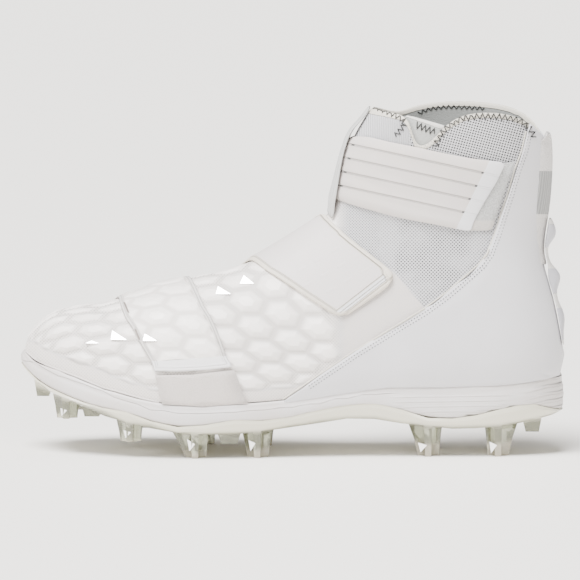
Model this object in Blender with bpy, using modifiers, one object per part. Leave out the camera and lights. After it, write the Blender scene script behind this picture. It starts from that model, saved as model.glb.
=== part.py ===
"""American football cleat, high top, left shoe. Metres, +Z up, toe at -X, lateral side at -Y.

The upper is one skin, worked out by skin() from a table of sections that fan round the ankle.
Sole, insole, panels and straps take their size and place from that same skin.
"""

import bmesh
import bpy
import numpy as np

mm = 0.001

# Driving sizes of the shoe
LENGTH = 307 * mm
BALL_WIDTH = 100 * mm
HEEL_WIDTH = 70 * mm
INSTEP_HEIGHT = 95 * mm
SHAFT_HEIGHT = 62 * mm
SOLE_DEPTH = 26.5 * mm
STUD_HEIGHT = 13.5 * mm

# Walls and clearances
UPPER_WALL = 2.0 * mm
INSOLE_THICK = 3.6 * mm
FOOTBED_DEPTH = 1.4 * mm
FOOTBED_INSET = 1.2 * mm
FOOTBED_BEVEL = 0.5 * mm
INSOLE_INSET = 1.7 * mm
INSOLE_BEVEL = 1.9 * mm
GAP = 0.3 * mm
QUARTER_THICK = 0.6 * mm
QUARTER_STANDS = 1.15 * mm
QUARTER_CLEAR = 1.8 * mm

# Studs
STUD_TIP_RADIUS = 5.6 * mm
STUD_BASE_RADIUS = 8.6 * mm
STUD_ARM_WIDTH = 3.4 * mm
STUD_INBOARD = 9.5 * mm
ROOT_IN_PLATE = 0.75
PLATE_HOLLOW = 0.4
PLATE_RECESS = 6 * mm

# Steps of the mesh
SOLE_STATIONS = 29
COLLAR_ROWS = 3

# Heights along the sole, as shares of SOLE_DEPTH above the studs' roots.
# Columns: along (0 heel, 1 toe), bite line, midsole's low edge, plate's low edge.
SOLE_PROFILE = (
    (0.000, 1.21, 0.42, 0.38),
    (0.020, 1.17, 0.46, 0.33),
    (0.050, 1.11, 0.58, 0.27),
    (0.080, 1.07, 0.58, 0.20),
    (0.110, 1.04, 0.52, 0.15),
    (0.150, 1.01, 0.40, 0.11),
    (0.200, 1.00, 0.31, 0.09),
    (0.256, 1.00, 0.34, 0.16),
    (0.290, 1.00, 0.48, 0.20),
    (0.320, 1.00, 0.61, 0.25),
    (0.350, 0.97, 0.65, 0.31),
    (0.384, 0.91, 0.63, 0.32),
    (0.433, 0.80, 0.53, 0.24),
    (0.480, 0.73, 0.40, 0.16),
    (0.520, 0.68, 0.31, 0.10),
    (0.556, 0.66, 0.29, 0.05),
    (0.595, 0.63, 0.32, 0.01),
    (0.628, 0.62, 0.27, 0.00),
    (0.660, 0.60, 0.18, 0.01),
    (0.700, 0.61, 0.17, 0.04),
    (0.743, 0.67, 0.27, 0.12),
    (0.770, 0.73, 0.38, 0.20),
    (0.795, 0.80, 0.48, 0.25),
    (0.822, 0.88, 0.52, 0.32),
    (0.845, 0.97, 0.55, 0.41),
    (0.872, 1.08, 0.63, 0.53),
    (0.902, 1.18, 0.74, 0.64),
    (0.934, 1.29, 0.87, 0.78),
    (0.960, 1.38, 1.01, 0.93),
    (0.980, 1.47, 1.18, 1.10),
    (1.000, 1.57, 1.36, 1.28),
)

# Sections of the upper, from the toe round the heel to the collar. Front and back ends are given as
# along and rise: rise is a share of INSTEP_HEIGHT above the bite line, past 1 of SHAFT_HEIGHT.
# swing, lateral and medial are shares of half the named width, which ball mixes: 1 ball, 0 heel.
# widest is how far down the section its widest place lies; top and low are superellipse powers;
# rows is how many rows of the mesh run from it to the next section.
SECTIONS = (
    # front along, rise; back along, rise; ball; swing; lateral; medial; widest; top; low; rows
    (0.9945, 0.006, 0.9945, 0.006, 1.00, 0.14, 0.00, 0.00, 0.50, 2.2, 3.0, 1),
    (0.9925, 0.072, 0.9925, -0.085, 1.00, 0.14, 0.15, 0.15, 0.44, 2.2, 3.0, 1),
    (0.984, 0.128, 0.984, -0.090, 1.00, 0.14, 0.27, 0.265, 0.42, 2.3, 3.0, 1),
    (0.969, 0.212, 0.969, -0.100, 1.00, 0.13, 0.42, 0.405, 0.52, 2.4, 3.0, 1),
    (0.946, 0.296, 0.946, -0.100, 1.00, 0.12, 0.56, 0.54, 0.62, 2.5, 3.0, 1),
    (0.917, 0.355, 0.917, -0.100, 1.00, 0.10, 0.68, 0.66, 0.66, 2.5, 3.0, 1),
    (0.882, 0.405, 0.882, -0.100, 1.00, 0.09, 0.79, 0.75, 0.69, 2.4, 3.0, 1),
    (0.847, 0.452, 0.847, -0.100, 1.00, 0.08, 0.88, 0.81, 0.72, 2.4, 3.0, 1),
    (0.811, 0.530, 0.811, -0.100, 1.00, 0.07, 0.95, 0.84, 0.75, 2.3, 3.0, 1),
    (0.772, 0.610, 0.772, -0.100, 1.00, 0.07, 1.00, 0.85, 0.77, 2.3, 3.0, 1),
    (0.727, 0.678, 0.727, -0.100, 1.00, 0.06, 1.03, 0.83, 0.79, 2.3, 3.0, 1),
    (0.675, 0.722, 0.675, -0.100, 1.00, 0.055, 1.03, 0.78, 0.80, 2.2, 3.0, 1),
    (0.622, 0.752, 0.618, -0.100, 1.00, 0.05, 1.00, 0.71, 0.81, 2.1, 3.0, 1),
    (0.568, 0.810, 0.556, -0.100, 0.80, 0.05, 0.99, 0.69, 0.81, 2.0, 3.0, 2),
    (0.525, 0.880, 0.498, -0.105, 0.60, 0.05, 0.98, 0.65, 0.79, 1.95, 2.9, 2),
    (0.492, 0.935, 0.417, -0.130, 0.40, 0.04, 0.97, 0.68, 0.76, 1.9, 2.8, 3),
    (0.463, 0.985, 0.320, -0.140, 0.20, 0.03, 0.99, 0.74, 0.72, 1.9, 2.7, 3),
    (0.440, 1.050, 0.205, -0.140, 0.00, 0.02, 1.03, 0.85, 0.67, 1.9, 2.6, 3),
    (0.425, 1.135, 0.075, -0.150, 0.00, 0.01, 1.01, 0.91, 0.62, 1.95, 2.5, 4),
    (0.4185, 1.235, 0.0075, 0.004, 0.00, 0.00, 0.99, 0.95, 0.57, 2.0, 2.4, 1),
    (0.413, 1.315, 0.011, 0.205, 0.00, 0.00, 0.98, 0.95, 0.56, 2.0, 2.4, 1),
    (0.409, 1.390, 0.022, 0.422, 0.00, 0.00, 0.97, 0.95, 0.55, 2.1, 2.3, 1),
    (0.405, 1.465, 0.036, 0.568, 0.00, 0.00, 0.96, 0.94, 0.54, 2.1, 2.2, 1),
    (0.401, 1.540, 0.050, 0.720, 0.00, 0.00, 0.95, 0.93, 0.53, 2.2, 2.1, 1),
    (0.396, 1.620, 0.050, 0.868, 0.00, 0.00, 0.95, 0.94, 0.52, 2.2, 2.1, 1),
    (0.390, 1.705, 0.043, 1.055, 0.00, 0.00, 0.97, 0.97, 0.51, 2.2, 2.2, 1),
    (0.381, 1.785, 0.039, 1.315, 0.00, 0.00, 1.00, 1.00, 0.50, 2.2, 2.3, 1),
    (0.370, 1.865, 0.038, 1.545, 0.00, 0.00, 1.03, 1.03, 0.50, 2.2, 2.3, 1),
    (0.358, 1.950, 0.041, 1.735, 0.00, 0.00, 1.05, 1.05, 0.50, 2.2, 2.3, 1),
    (0.348, 2.030, 0.048, 1.920, 0.00, 0.00, 1.04, 1.04, 0.50, 2.2, 2.3, 1),
)
LOW_SECTION = 25
HEEL_SECTION = 15

# The collar's rim in side view. Columns: along, rise.
LATERAL_RIM = (
    (0.360, 1.985),
    (0.340, 1.955),
    (0.315, 1.925),
    (0.295, 1.900),
    (0.284, 1.850),
    (0.277, 1.740),
    (0.268, 1.600),
    (0.253, 1.590),
    (0.240, 1.690),
    (0.226, 1.795),
    (0.206, 1.870),
    (0.175, 1.920),
    (0.145, 1.930),
    (0.115, 1.910),
    (0.090, 1.875),
    (0.070, 1.820),
    (0.055, 1.740),
    (0.040, 1.640),
)
MEDIAL_RIM = (
    (0.360, 1.985),
    (0.330, 1.930),
    (0.295, 1.880),
    (0.275, 1.915),
    (0.240, 1.950),
    (0.200, 1.960),
    (0.150, 1.945),
    (0.110, 1.910),
    (0.080, 1.850),
    (0.055, 1.750),
    (0.040, 1.640),
)

# Angles round a section, in degrees from its front: closer where the lateral rim has its notch.
LATERAL_ANGLES = (0, 11, 22, 34, 46, 55, 61, 66, 72, 79, 87, 97, 110, 124, 141, 160, 180)
MEDIAL_ANGLES = (16, 32, 48, 64, 80, 96, 112, 128, 146, 163)

# Side of the midsole, top to bottom. Columns: share of its height, out, out again round the heel.
MIDSOLE_SIDE = (
    (0.00, 0.5, 0.0),
    (0.14, 1.6, 0.4),
    (0.22, 1.2, -0.3),
    (0.36, 2.1, 0.6),
    (0.48, 2.3, -0.4),
    (0.60, 2.4, 0.6),
    (0.71, 2.3, -0.4),
    (0.84, 2.1, 0.4),
    (1.00, 1.7, -0.2),
)
# Side of the plate. Columns: share of its height, out.
PLATE_SIDE = (
    (0.00, 1.6),
    (0.22, 1.9),
    (0.70, 0.7),
    (1.00, -1.6),
)
HEEL_RIDGES_END = 0.13

# Studs. Columns: along, side (-1 lateral), reach (1 to the floor), fore fin, aft fin (root lengths).
STUDS = (
    (0.908, -1, 0.36, 1.0, 0.8),
    (0.787, -1, 0.56, 1.0, 0.8),
    (0.668, -1, 1.00, 1.9, 0.8),
    (0.556, -1, 1.00, 1.1, 1.0),
    (0.247, -1, 1.00, 1.5, 0.9),
    (0.120, -1, 1.00, 0.9, 1.4),
    (0.900, 1, 0.36, 1.0, 0.8),
    (0.780, 1, 0.56, 1.0, 0.8),
    (0.668, 1, 1.00, 1.6, 0.8),
    (0.560, 1, 1.00, 1.1, 1.0),
    (0.247, 1, 1.00, 1.5, 0.9),
    (0.120, 1, 1.00, 0.9, 1.4),
)
# Low lugs. Columns: along, side, inboard, half length, half width, drop below the plate.
LUGS = (
    (0.955, -1, 9.0, 4.2, 3.0, 6.0),
    (0.955, 1, 9.0, 4.2, 3.0, 6.0),
    (0.860, -1, 11.0, 5.0, 3.2, 4.5),
    (0.860, 1, 11.0, 5.0, 3.2, 4.5),
    (0.607, -1, 10.0, 5.6, 3.2, 5.6),
    (0.607, 1, 10.0, 5.6, 3.2, 5.6),
    (0.058, -1, 8.0, 4.6, 3.0, 7.0),
    (0.058, 1, 8.0, 4.6, 3.0, 7.0),
)

# Front edge of the heel panel, the same on both sides. Columns: along, rise.
QUARTER_SEAM = (
    (0.519, -0.006),
    (0.468, 0.088),
    (0.424, 0.163),
    (0.384, 0.225),
    (0.345, 0.286),
    (0.309, 0.349),
    (0.280, 0.408),
    (0.254, 0.458),
    (0.215, 0.552),
    (0.186, 0.633),
    (0.155, 0.720),
    (0.141, 0.777),
    (0.128, 0.885),
    (0.117, 1.002),
    (0.104, 1.181),
    (0.093, 1.386),
    (0.080, 1.546),
    (0.072, 1.723),
    (0.069, 1.816),
)
QUARTER_ROWS = (
    *(13.9, 14.4, 15.2, 16.2, 17.2, 18.0, 18.25, 18.5),
    *(18.75, 19.0, 19.5, 20.2, 21.2, 22.4, 23.6, 25.0),
)
QUARTER_COLUMNS = 8
QUARTER_CROWDING = 0.92
QUARTER_TOP_ROWS = 2
SHORTEST_ROW = 0.04
QUARTER_BELOW_RIM = 0.15

# Straps and panels, crossing by crossing from the lateral end. Columns: side (-1 lateral, 0 on the
# ridge, 1 medial), low or fore edge's along and rise, high or aft edge's along and rise.
MIDFOOT_STRAP = (
    (-1, 0.392, 0.450, 0.322, 0.574),
    (-1, 0.4125, 0.447, 0.306, 0.640),
    (-1, 0.432, 0.498, 0.318, 0.690),
    (-1, 0.458, 0.563, 0.343, 0.755),
    (-1, 0.487, 0.630, 0.372, 0.835),
    (-1, 0.517, 0.700, 0.400, 0.920),
    (-1, 0.550, 0.765, 0.424, 0.998),
    (0, 0.579, 0.796, 0.439, 1.050),
    (1, 0.605, 0.735, 0.459, 0.960),
    (1, 0.634, 0.610, 0.486, 0.810),
    (1, 0.662, 0.450, 0.514, 0.620),
    (1, 0.687, 0.270, 0.545, 0.400),
    (1, 0.705, 0.110, 0.572, 0.170),
    (1, 0.714, 0.010, 0.587, 0.010),
)
FOREFOOT_STRAP = (
    (-1, 0.7395, 0.187, 0.600, 0.226),
    (-1, 0.744, 0.235, 0.608, 0.272),
    (-1, 0.752, 0.270, 0.613, 0.305),
    (-1, 0.766, 0.330, 0.622, 0.390),
    (-1, 0.783, 0.402, 0.638, 0.500),
    (-1, 0.803, 0.465, 0.660, 0.610),
    (0, 0.820, 0.505, 0.690, 0.705),
    (1, 0.840, 0.430, 0.716, 0.620),
    (1, 0.858, 0.325, 0.740, 0.490),
    (1, 0.873, 0.210, 0.760, 0.340),
    (1, 0.884, 0.100, 0.776, 0.170),
    (1, 0.891, 0.010, 0.787, 0.010),
)
STRAP_BASE = (
    (-1, 0.725, 0.010, 0.572, 0.010),
    (-1, 0.732, 0.095, 0.585, 0.115),
    (-1, 0.738, 0.168, 0.597, 0.205),
)
ANKLE_STRAP = (
    (-1, 0.170, 0.902, 0.109, 1.468),
    (-1, 0.198, 0.923, 0.137, 1.492),
    (-1, 0.240, 0.953, 0.182, 1.527),
    (-1, 0.275, 0.970, 0.230, 1.580),
    (-1, 0.310, 0.992, 0.275, 1.625),
    (-1, 0.350, 1.050, 0.320, 1.660),
    (-1, 0.392, 1.130, 0.360, 1.720),
    (0, 0.420, 1.190, 0.389, 1.715),
    (1, 0.392, 1.130, 0.360, 1.720),
    (1, 0.350, 1.050, 0.320, 1.660),
    (1, 0.305, 0.990, 0.270, 1.620),
    (1, 0.260, 0.965, 0.215, 1.570),
    (1, 0.215, 0.940, 0.165, 1.520),
)
STRAP_PATCH = (
    (-1, 0.180, 0.915, 0.117, 1.455),
    (-1, 0.158, 0.910, 0.104, 1.460),
    (-1, 0.133, 0.908, 0.0925, 1.465),
)
COLLAR_GUSSET = (
    (-1, 0.302, 1.530, 0.302, 1.925),
    (-1, 0.280, 1.520, 0.278, 1.895),
    (-1, 0.255, 1.510, 0.250, 1.855),
    (-1, 0.232, 1.500, 0.222, 1.815),
    (-1, 0.215, 1.500, 0.205, 1.790),
)

# Sections across straps and panels. Columns: share of the width, height over the skin in mm.
FLAT_SECTION = ((0.0, 1.35), (0.5, 1.35), (1.0, 1.35))
MIDFOOT_SECTION = ((0.0, 1.6), (0.06, 3.2), (0.13, 2.7), (0.87, 2.7), (0.94, 3.2), (1.0, 1.6))
FOREFOOT_SECTION = ((0.0, 1.25), (0.07, 1.75), (0.36, 1.75), (0.64, 1.75), (0.93, 1.75), (1.0, 1.25))
ANKLE_RIBS = 5
ANKLE_STEPS = 19
RIDGE_CROWDING = 1.4
RIB_HEIGHT = 3.0
GROOVE_HEIGHT = 2.2
EDGE_HEIGHT = 1.4
STRAP_STANDS = 0.85
END_HEIGHT = 0.5
TIP_STANDS = 1.6
PATCH_STANDS = 0.5
GUSSET_STANDS = -3.1

# Band down the front that the ankle strap runs under. Columns: row, half angle, height over the skin
# in mm.
KEEPER_BAND = (
    (28.25, 14, 0.6),
    (27.2, 15, 0.9),
    (26.3, 15, 2.2),
    (25.5, 15, 3.5),
    (24.0, 15, 3.5),
    (22.0, 16, 3.5),
    (20.0, 17, 3.5),
    (18.6, 18, 3.5),
    (17.9, 19, 1.8),
    (17.4, 20, 0.6),
)
BAND_THICK = 1.1
BAND_COLUMNS = 5
# Loop down the back of the heel. Columns: row, half angle, height over the skin in mm.
PULL_TAB = (
    (27.65, 19, 2.8),
    (27.35, 20, 3.5),
    (26.5, 21, 4.1),
    (25.4, 21, 4.3),
    (24.6, 20, 4.4),
    (23.9, 20, 3.6),
    (23.3, 20, 3.3),
    (22.95, 20, 3.0),
    (22.5, 20, 3.0),
)
TAB_THICK = 1.2
# Padded spine down the heel. Columns: row, height of its back and of its crown over the skin in mm.
HEEL_SPINE = (
    (24.45, 6.5, 7.4),
    (24.25, 6.5, 9.4),
    (24.0, 6.2, 11.2),
    (23.7, 5.8, 10.4),
    (23.45, 5.4, 7.2),
    (23.1, 5.1, 6.0),
    (22.6, 5.0, 6.0),
    (22.35, 4.6, 7.2),
    (22.0, 2.2, 10.0),
    (21.65, 2.2, 8.0),
    (21.4, 2.2, 4.2),
    (21.0, 2.2, 3.3),
    (20.75, 2.2, 5.2),
    (20.45, 2.2, 5.8),
    (20.2, 2.2, 3.4),
    (19.75, 2.2, 2.8),
)
SPINE_COLUMNS = ((-10, 0.15), (-6, 0.85), (0, 1.0), (6, 0.85), (10, 0.15))


def smooth(table_x, table_y, at):
    """Cubic through the rows of a table, with slopes taken from the rows beside each one."""
    xs = np.asarray(table_x, float)
    ys = np.asarray(table_y, float)
    slope = np.gradient(ys, xs)
    at = np.clip(at, xs[0], xs[-1])
    row = np.clip(np.searchsorted(xs, at, side="right") - 1, 0, len(xs) - 2)
    step = xs[row + 1] - xs[row]
    t = (at - xs[row]) / step
    rise = ys[row] * (1 + 2 * t) * (1 - t) ** 2 + ys[row + 1] * t * t * (3 - 2 * t)
    return rise + step * (slope[row] * t * (1 - t) ** 2 - slope[row + 1] * t * t * (1 - t))


def sole_height(along, column):
    rows = np.array(SOLE_PROFILE)
    return STUD_HEIGHT + SOLE_DEPTH * smooth(rows[:, 0], rows[:, column], along)


def along_of(x):
    return 0.5 - x / LENGTH


def side_view(along, rise):
    """x and z of a place in side view."""
    x = LENGTH * (0.5 - along)
    over = INSTEP_HEIGHT * np.minimum(rise, 1) + SHAFT_HEIGHT * np.maximum(rise - 1, 0)
    return x, sole_height(along, 1) + over


def skin(u, angle, lift=0.0):
    """Points of the upper's outside: u runs over the rows of SECTIONS, angle from 0 at the front or
    top of a section to pi at its back, minus on the lateral side. lift stands off the skin."""
    u, angle = np.broadcast_arrays(np.asarray(u, float), np.asarray(angle, float))
    rows = np.array(SECTIONS)
    steps = np.arange(len(rows))
    value = [smooth(steps, rows[:, column], u) for column in range(rows.shape[1])]
    front = np.stack(side_view(value[0], value[1]))
    back = np.stack(side_view(value[2], value[3]))
    half = 0.5 * (BALL_WIDTH * value[4] + HEEL_WIDTH * (1 - value[4]))
    upper_half = np.abs(angle) < np.pi / 2
    power = 2 / np.where(upper_half, value[9], value[10])
    across = np.abs(np.sin(angle)) ** power
    down = np.abs(np.cos(angle)) ** power
    share = np.where(upper_half, value[8] * (1 - down), value[8] + (1 - value[8]) * down)
    width = np.where(angle < 0, -value[6], value[7]) * half
    x, z = front + (back - front) * share
    points = np.stack([x, value[5] * half + width * across, z], -1)
    if np.any(lift):
        points = points + skin_normal(u, angle) * np.asarray(lift)[..., None]
    return points


def skin_normal(u, angle):
    """Unit normals that point out of the skin, from small steps along it and round it."""
    last = len(SECTIONS) - 1
    du = skin(np.minimum(u + 0.02, last), angle) - skin(np.maximum(u - 0.02, 0.02), angle)
    away = np.where(angle < 0, -1.0, 1.0)
    turn = np.clip(np.abs(angle), 0.03, np.pi - 0.03)
    dv = skin(u, away * (turn + 0.02)) - skin(u, away * (turn - 0.02))
    normal = np.cross(du, dv) * away[..., None]
    normal /= np.maximum(np.linalg.norm(normal, axis=-1, keepdims=True), 1e-12)
    middle = (np.abs(angle) < 0.03) | (np.abs(angle) > np.pi - 0.03)
    normal[..., 1] = np.where(middle, 0.0, normal[..., 1])
    return normal / np.linalg.norm(normal, axis=-1, keepdims=True)


def locate(along, rise):
    """Row and angle, in radians, of the skin's places that are nearest to these in side view."""
    u = np.arange(0.2, len(SECTIONS) - 1, 0.02)[:, None]
    angle = np.radians(np.arange(0, 180.1, 0.5))[None, :]
    seen = skin(u, angle)
    rows = []
    for one, two in zip(along, rise):
        x, z = side_view(one, two)
        nearest = np.argmin((seen[..., 0] - x) ** 2 + (seen[..., 2] - z) ** 2)
        i, j = np.unravel_index(nearest, seen.shape[:2])
        rows.append((u[i, 0], angle[0, j]))
    return np.array(rows).T


def halve(low, high, above):
    """Where above() turns from true to false between low and high, for many places at once."""
    for _ in range(36):
        middle = 0.5 * (low + high)
        held = above(middle)
        low = np.where(held, middle, low)
        high = np.where(held, high, middle)
    return 0.5 * (low + high)


def bite_angle(u, side, clear=GAP):
    """Angle at which a section comes down to just clear of the midsole, or pi where its back is above it."""
    u = np.asarray(u, float)

    def above(angle):
        x, _, z = np.moveaxis(skin(u, side * angle), -1, 0)
        return z > sole_height(along_of(x), 1) + clear

    whole = above(np.full(u.shape, np.pi - 1e-6))
    found = halve(np.full(u.shape, np.pi * 0.3), np.full(u.shape, np.pi), above)
    return np.where(whole & (u > HEEL_SECTION), np.pi, found)


def rim_row(angle):
    """Row at which the lines of these angles meet the collar's rim."""
    lateral = np.array(LATERAL_RIM)[::-1]
    medial = np.array(MEDIAL_RIM)[::-1]

    def below(u):
        x, _, z = np.moveaxis(skin(u, angle), -1, 0)
        along = along_of(x)
        outer = smooth(lateral[:, 0], lateral[:, 1], along)
        inner = smooth(medial[:, 0], medial[:, 1], along)
        return z < side_view(along, np.where(angle <= 0, outer, inner))[1]

    return halve(np.full(angle.shape, LOW_SECTION - 3.0), np.full(angle.shape, len(SECTIONS) - 1.0), below)


def material(name, colour, roughness, see_through=0.0):
    made = bpy.data.materials.new(name)
    made.use_nodes = True
    shader = made.node_tree.nodes["Principled BSDF"]
    shader.inputs["Base Color"].default_value = (*colour, 1)
    shader.inputs["Roughness"].default_value = roughness
    shader.inputs["Metallic"].default_value = 0.0
    shader.inputs["Transmission Weight"].default_value = see_through
    made.diffuse_color = (*colour, 1)
    return made


def solid(name, points, faces, look, collection):
    """An object from points and faces, with doubles merged and faces turned out."""
    mesh = bpy.data.meshes.new(name)
    mesh.from_pydata([tuple(p) for p in points], [], faces)
    form = bmesh.new()
    form.from_mesh(mesh)
    bmesh.ops.remove_doubles(form, verts=form.verts, dist=1e-6)
    bmesh.ops.dissolve_degenerate(form, edges=form.edges, dist=1e-6)
    bmesh.ops.recalc_face_normals(form, faces=form.faces)
    form.to_mesh(mesh)
    form.free()
    mesh.materials.append(look)
    mesh.shade_smooth()
    mesh.set_sharp_from_angle(angle=0.7)
    thing = bpy.data.objects.new(name, mesh)
    collection.objects.link(thing)
    return thing


def grid_faces(rows, columns, closed=False, start=0):
    """Quads between rows of points laid one after the other."""
    faces = []
    for i in range(rows - 1):
        for j in range(columns if closed else columns - 1):
            a = start + i * columns + j
            b = start + i * columns + (j + 1) % columns
            faces.append((a, b, b + columns, a + columns))
    return faces


def upper_grid():
    """Rows and columns of the upper's outside, cut at the bite line and at the collar's rim."""
    lateral = -np.radians(LATERAL_ANGLES[::-1])
    angles = np.concatenate([lateral, np.radians(MEDIAL_ANGLES), [np.pi]])
    foot = [u + step / row[-1] for u, row in enumerate(SECTIONS[:LOW_SECTION]) for step in range(row[-1])]
    foot = np.array([*foot, LOW_SECTION])
    ends = np.where(angles[None, :] < 0, bite_angle(foot, -1)[:, None], bite_angle(foot, 1)[:, None])
    lower = skin(foot[:, None], angles[None, :] * ends / np.pi)
    tops = rim_row(angles)
    tops[-1] = tops[0]
    step = np.linspace(0, 1, COLLAR_ROWS + 1)[1:, None]
    upper = skin(LOW_SECTION + (tops[None, :] - LOW_SECTION) * step, angles[None, :])
    return np.concatenate([lower, upper])


def rim_line(side, count=260):
    """The upper's lower edge on one side, from toe to heel."""
    u = np.linspace(0, 20, count)
    angle = bite_angle(u, side)
    last = int(np.argmax((angle >= np.pi - 1e-5) & (u > HEEL_SECTION)))
    return skin(u, side * angle)[: last + 1]


def stations(line):
    """Even steps along a line, closer at its two ends."""
    lengths = np.linalg.norm(np.diff(line, axis=0), axis=1)
    reach = np.concatenate([[0], np.cumsum(lengths)])
    t = np.linspace(0, 1, SOLE_STATIONS + 1)
    t = 0.4 * t + 0.6 * (1 - np.cos(np.pi * t)) / 2
    return np.stack([np.interp(t * reach[-1], reach, line[:, axis]) for axis in range(3)], -1)


def sole_loop():
    """Loop round the upper's lower edge: points and the plan normals that point out of it."""
    lateral = stations(rim_line(-1))
    medial = stations(rim_line(1))
    toe = 0.5 * (lateral[0] + medial[0])
    heel = 0.5 * (lateral[-1] + medial[-1])
    loop = np.concatenate([[toe], lateral[1:-1], [heel], medial[-2:0:-1]])
    ahead = np.roll(loop, -1, axis=0) - np.roll(loop, 1, axis=0)
    normal = np.stack([ahead[:, 1], -ahead[:, 0]], -1)
    normal /= np.linalg.norm(normal, axis=1, keepdims=True)
    if normal[0, 0] > 0:
        normal = -normal
    return loop, normal


def level(loop, normal, out, high, low=0.0, share=0.0):
    """The sole's loop moved out, at a share of the way down from one height to another. Heights are
    functions of the place along the sole."""
    plan = loop[:, :2] + normal * np.asarray(out).reshape(-1, 1)
    along = along_of(plan[:, 0])
    heights = high(along)
    if share:
        heights = heights + share * (low(along) - heights)
    return np.column_stack([plan, heights])


def bite_height(along):
    return sole_height(along, 1)


def midsole_low(along):
    return sole_height(along, 2)


def plate_low(along):
    return sole_height(along, 3)


def cap(ring, across, dish):
    """Points and faces that close a ring of the sole with strips from side to side. dish holds, for
    each station, how far the middle of its strip moves in height."""
    n = SOLE_STATIONS
    count = len(ring)
    points = []
    faces = []

    def column(i):
        if i in (0, n):
            return [i]
        inner = [count + (i - 1) * across + k for k in range(across)]
        return [i, *inner, count - i]

    for i in range(1, n):
        for k in range(across):
            share = (k + 1) / (across + 1)
            point = ring[i] + (ring[count - i] - ring[i]) * share
            points.append((point[0], point[1], point[2] + dish[i] * np.sin(np.pi * share)))
    for i in range(n):
        one = column(i)
        two = column(i + 1)
        if len(one) == 1:
            faces += [(one[0], two[k], two[k + 1]) for k in range(len(two) - 1)]
        elif len(two) == 1:
            faces += [(one[k], two[0], one[k + 1]) for k in range(len(one) - 1)]
        else:
            faces += [(one[k], two[k], two[k + 1], one[k + 1]) for k in range(len(one) - 1)]
    return points, faces


def sole_solid(name, levels, across, dish, look, collection):
    """A closed solid from levels of the sole's loop, top to bottom, closed across at both ends.
    dish bends its underside."""
    count = len(levels[0])
    flat = np.zeros(SOLE_STATIONS + 1)
    points = [tuple(p) for ring in levels for p in ring]
    faces = grid_faces(len(levels), count, closed=True)
    for ring, bend, start in ((levels[0], flat, 0), (levels[-1], dish, (len(levels) - 1) * count)):
        extra, cap_faces = cap(ring, across, bend)
        base = len(points)
        points += extra
        for face in cap_faces:
            faces.append(tuple(start + i if i < count else base + i - count for i in face))
    return solid(name, points, faces, look, collection)


def stud_outline(radii, width, side):
    """Three arms seen from below: one outwards, one fore and inwards, one aft and inwards."""
    outline = []
    arms = ((-90, radii[0]), (28, radii[2]), (152, radii[1]))
    for turn, (angle, radius) in enumerate(arms):
        way = np.radians(angle)
        along = np.array([np.cos(way), np.sin(way)])
        beside = np.array([-np.sin(way), np.cos(way)])
        outline.append(along * radius - beside * width / 2)
        outline.append(along * radius + beside * width / 2)
        following = arms[(turn + 1) % 3][0]
        if following < angle:
            following += 360
        between = np.radians(0.5 * (angle + following))
        outline.append(np.array([np.cos(between), np.sin(between)]) * width * 0.62)
    outline = np.array(outline)
    if side > 0:
        outline = outline[::-1] * (1, -1)
    return outline


def tapered(name, rings, look, collection):
    """A closed solid between outlines at falling heights."""
    count = len(rings[0])
    points = [tuple(p) for ring in rings for p in ring]
    faces = grid_faces(len(rings), count, closed=True)
    faces.append(tuple(range(count)))
    faces.append(tuple(len(points) - count + i for i in range(count)))
    return solid(name, points, faces, look, collection)


def make_studs(loop, look, collection):
    half = len(loop) // 2
    sides = {-1: range(0, half + 1), 1: [0, *range(len(loop) - 1, half - 1, -1)]}

    def place(along, side, inboard):
        index = list(sides[side])
        share = along_of(loop[index, 0])[::-1]
        x = LENGTH * (0.5 - along)
        y = np.interp(along, share, loop[index, 1][::-1]) - side * inboard
        return x, y

    def heights(x, share, tip):
        """Height of a point of a stud: at 0 inside the plate, at 1 its tip."""
        along = along_of(x)
        low = sole_height(along, 3)
        if share == 0:
            return low + ROOT_IN_PLATE * (sole_height(along, 2) - low)
        return low + (tip - low) * share

    for number, (along, side, reach, fore, aft) in enumerate(STUDS):
        x, y = place(along, side, STUD_INBOARD)
        tip = sole_height(along, 3) * (1 - reach)
        rings = []
        for share in (0.0, 0.06, 0.5, 1.0):
            root = np.array([1.0, fore, aft]) * STUD_BASE_RADIUS
            radii = root + (STUD_TIP_RADIUS - root) * share ** 0.6
            outline = stud_outline(radii, STUD_ARM_WIDTH * (1.25 - 0.25 * share), side)
            rings.append([(x + p[0], y + p[1], heights(x + p[0], share, tip)) for p in outline])
        tapered(f"stud_{number + 1}", rings, look, collection)
    for number, (along, side, inboard, length, width, drop) in enumerate(LUGS):
        x, y = place(along, side, inboard * mm)
        tip = sole_height(along, 3) - drop * mm
        corners = np.array([(-1, -1), (1, -1), (1, 1), (-1, 1)]) * (length * mm, width * mm)
        rings = []
        for share, size in ((0.0, 1.15), (0.1, 1.1), (1.0, 0.8)):
            outline = corners * size
            rings.append([(x + p[0], y + p[1], heights(x + p[0], share, tip)) for p in outline])
        tapered(f"lug_{number + 1}", rings, look, collection)


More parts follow.
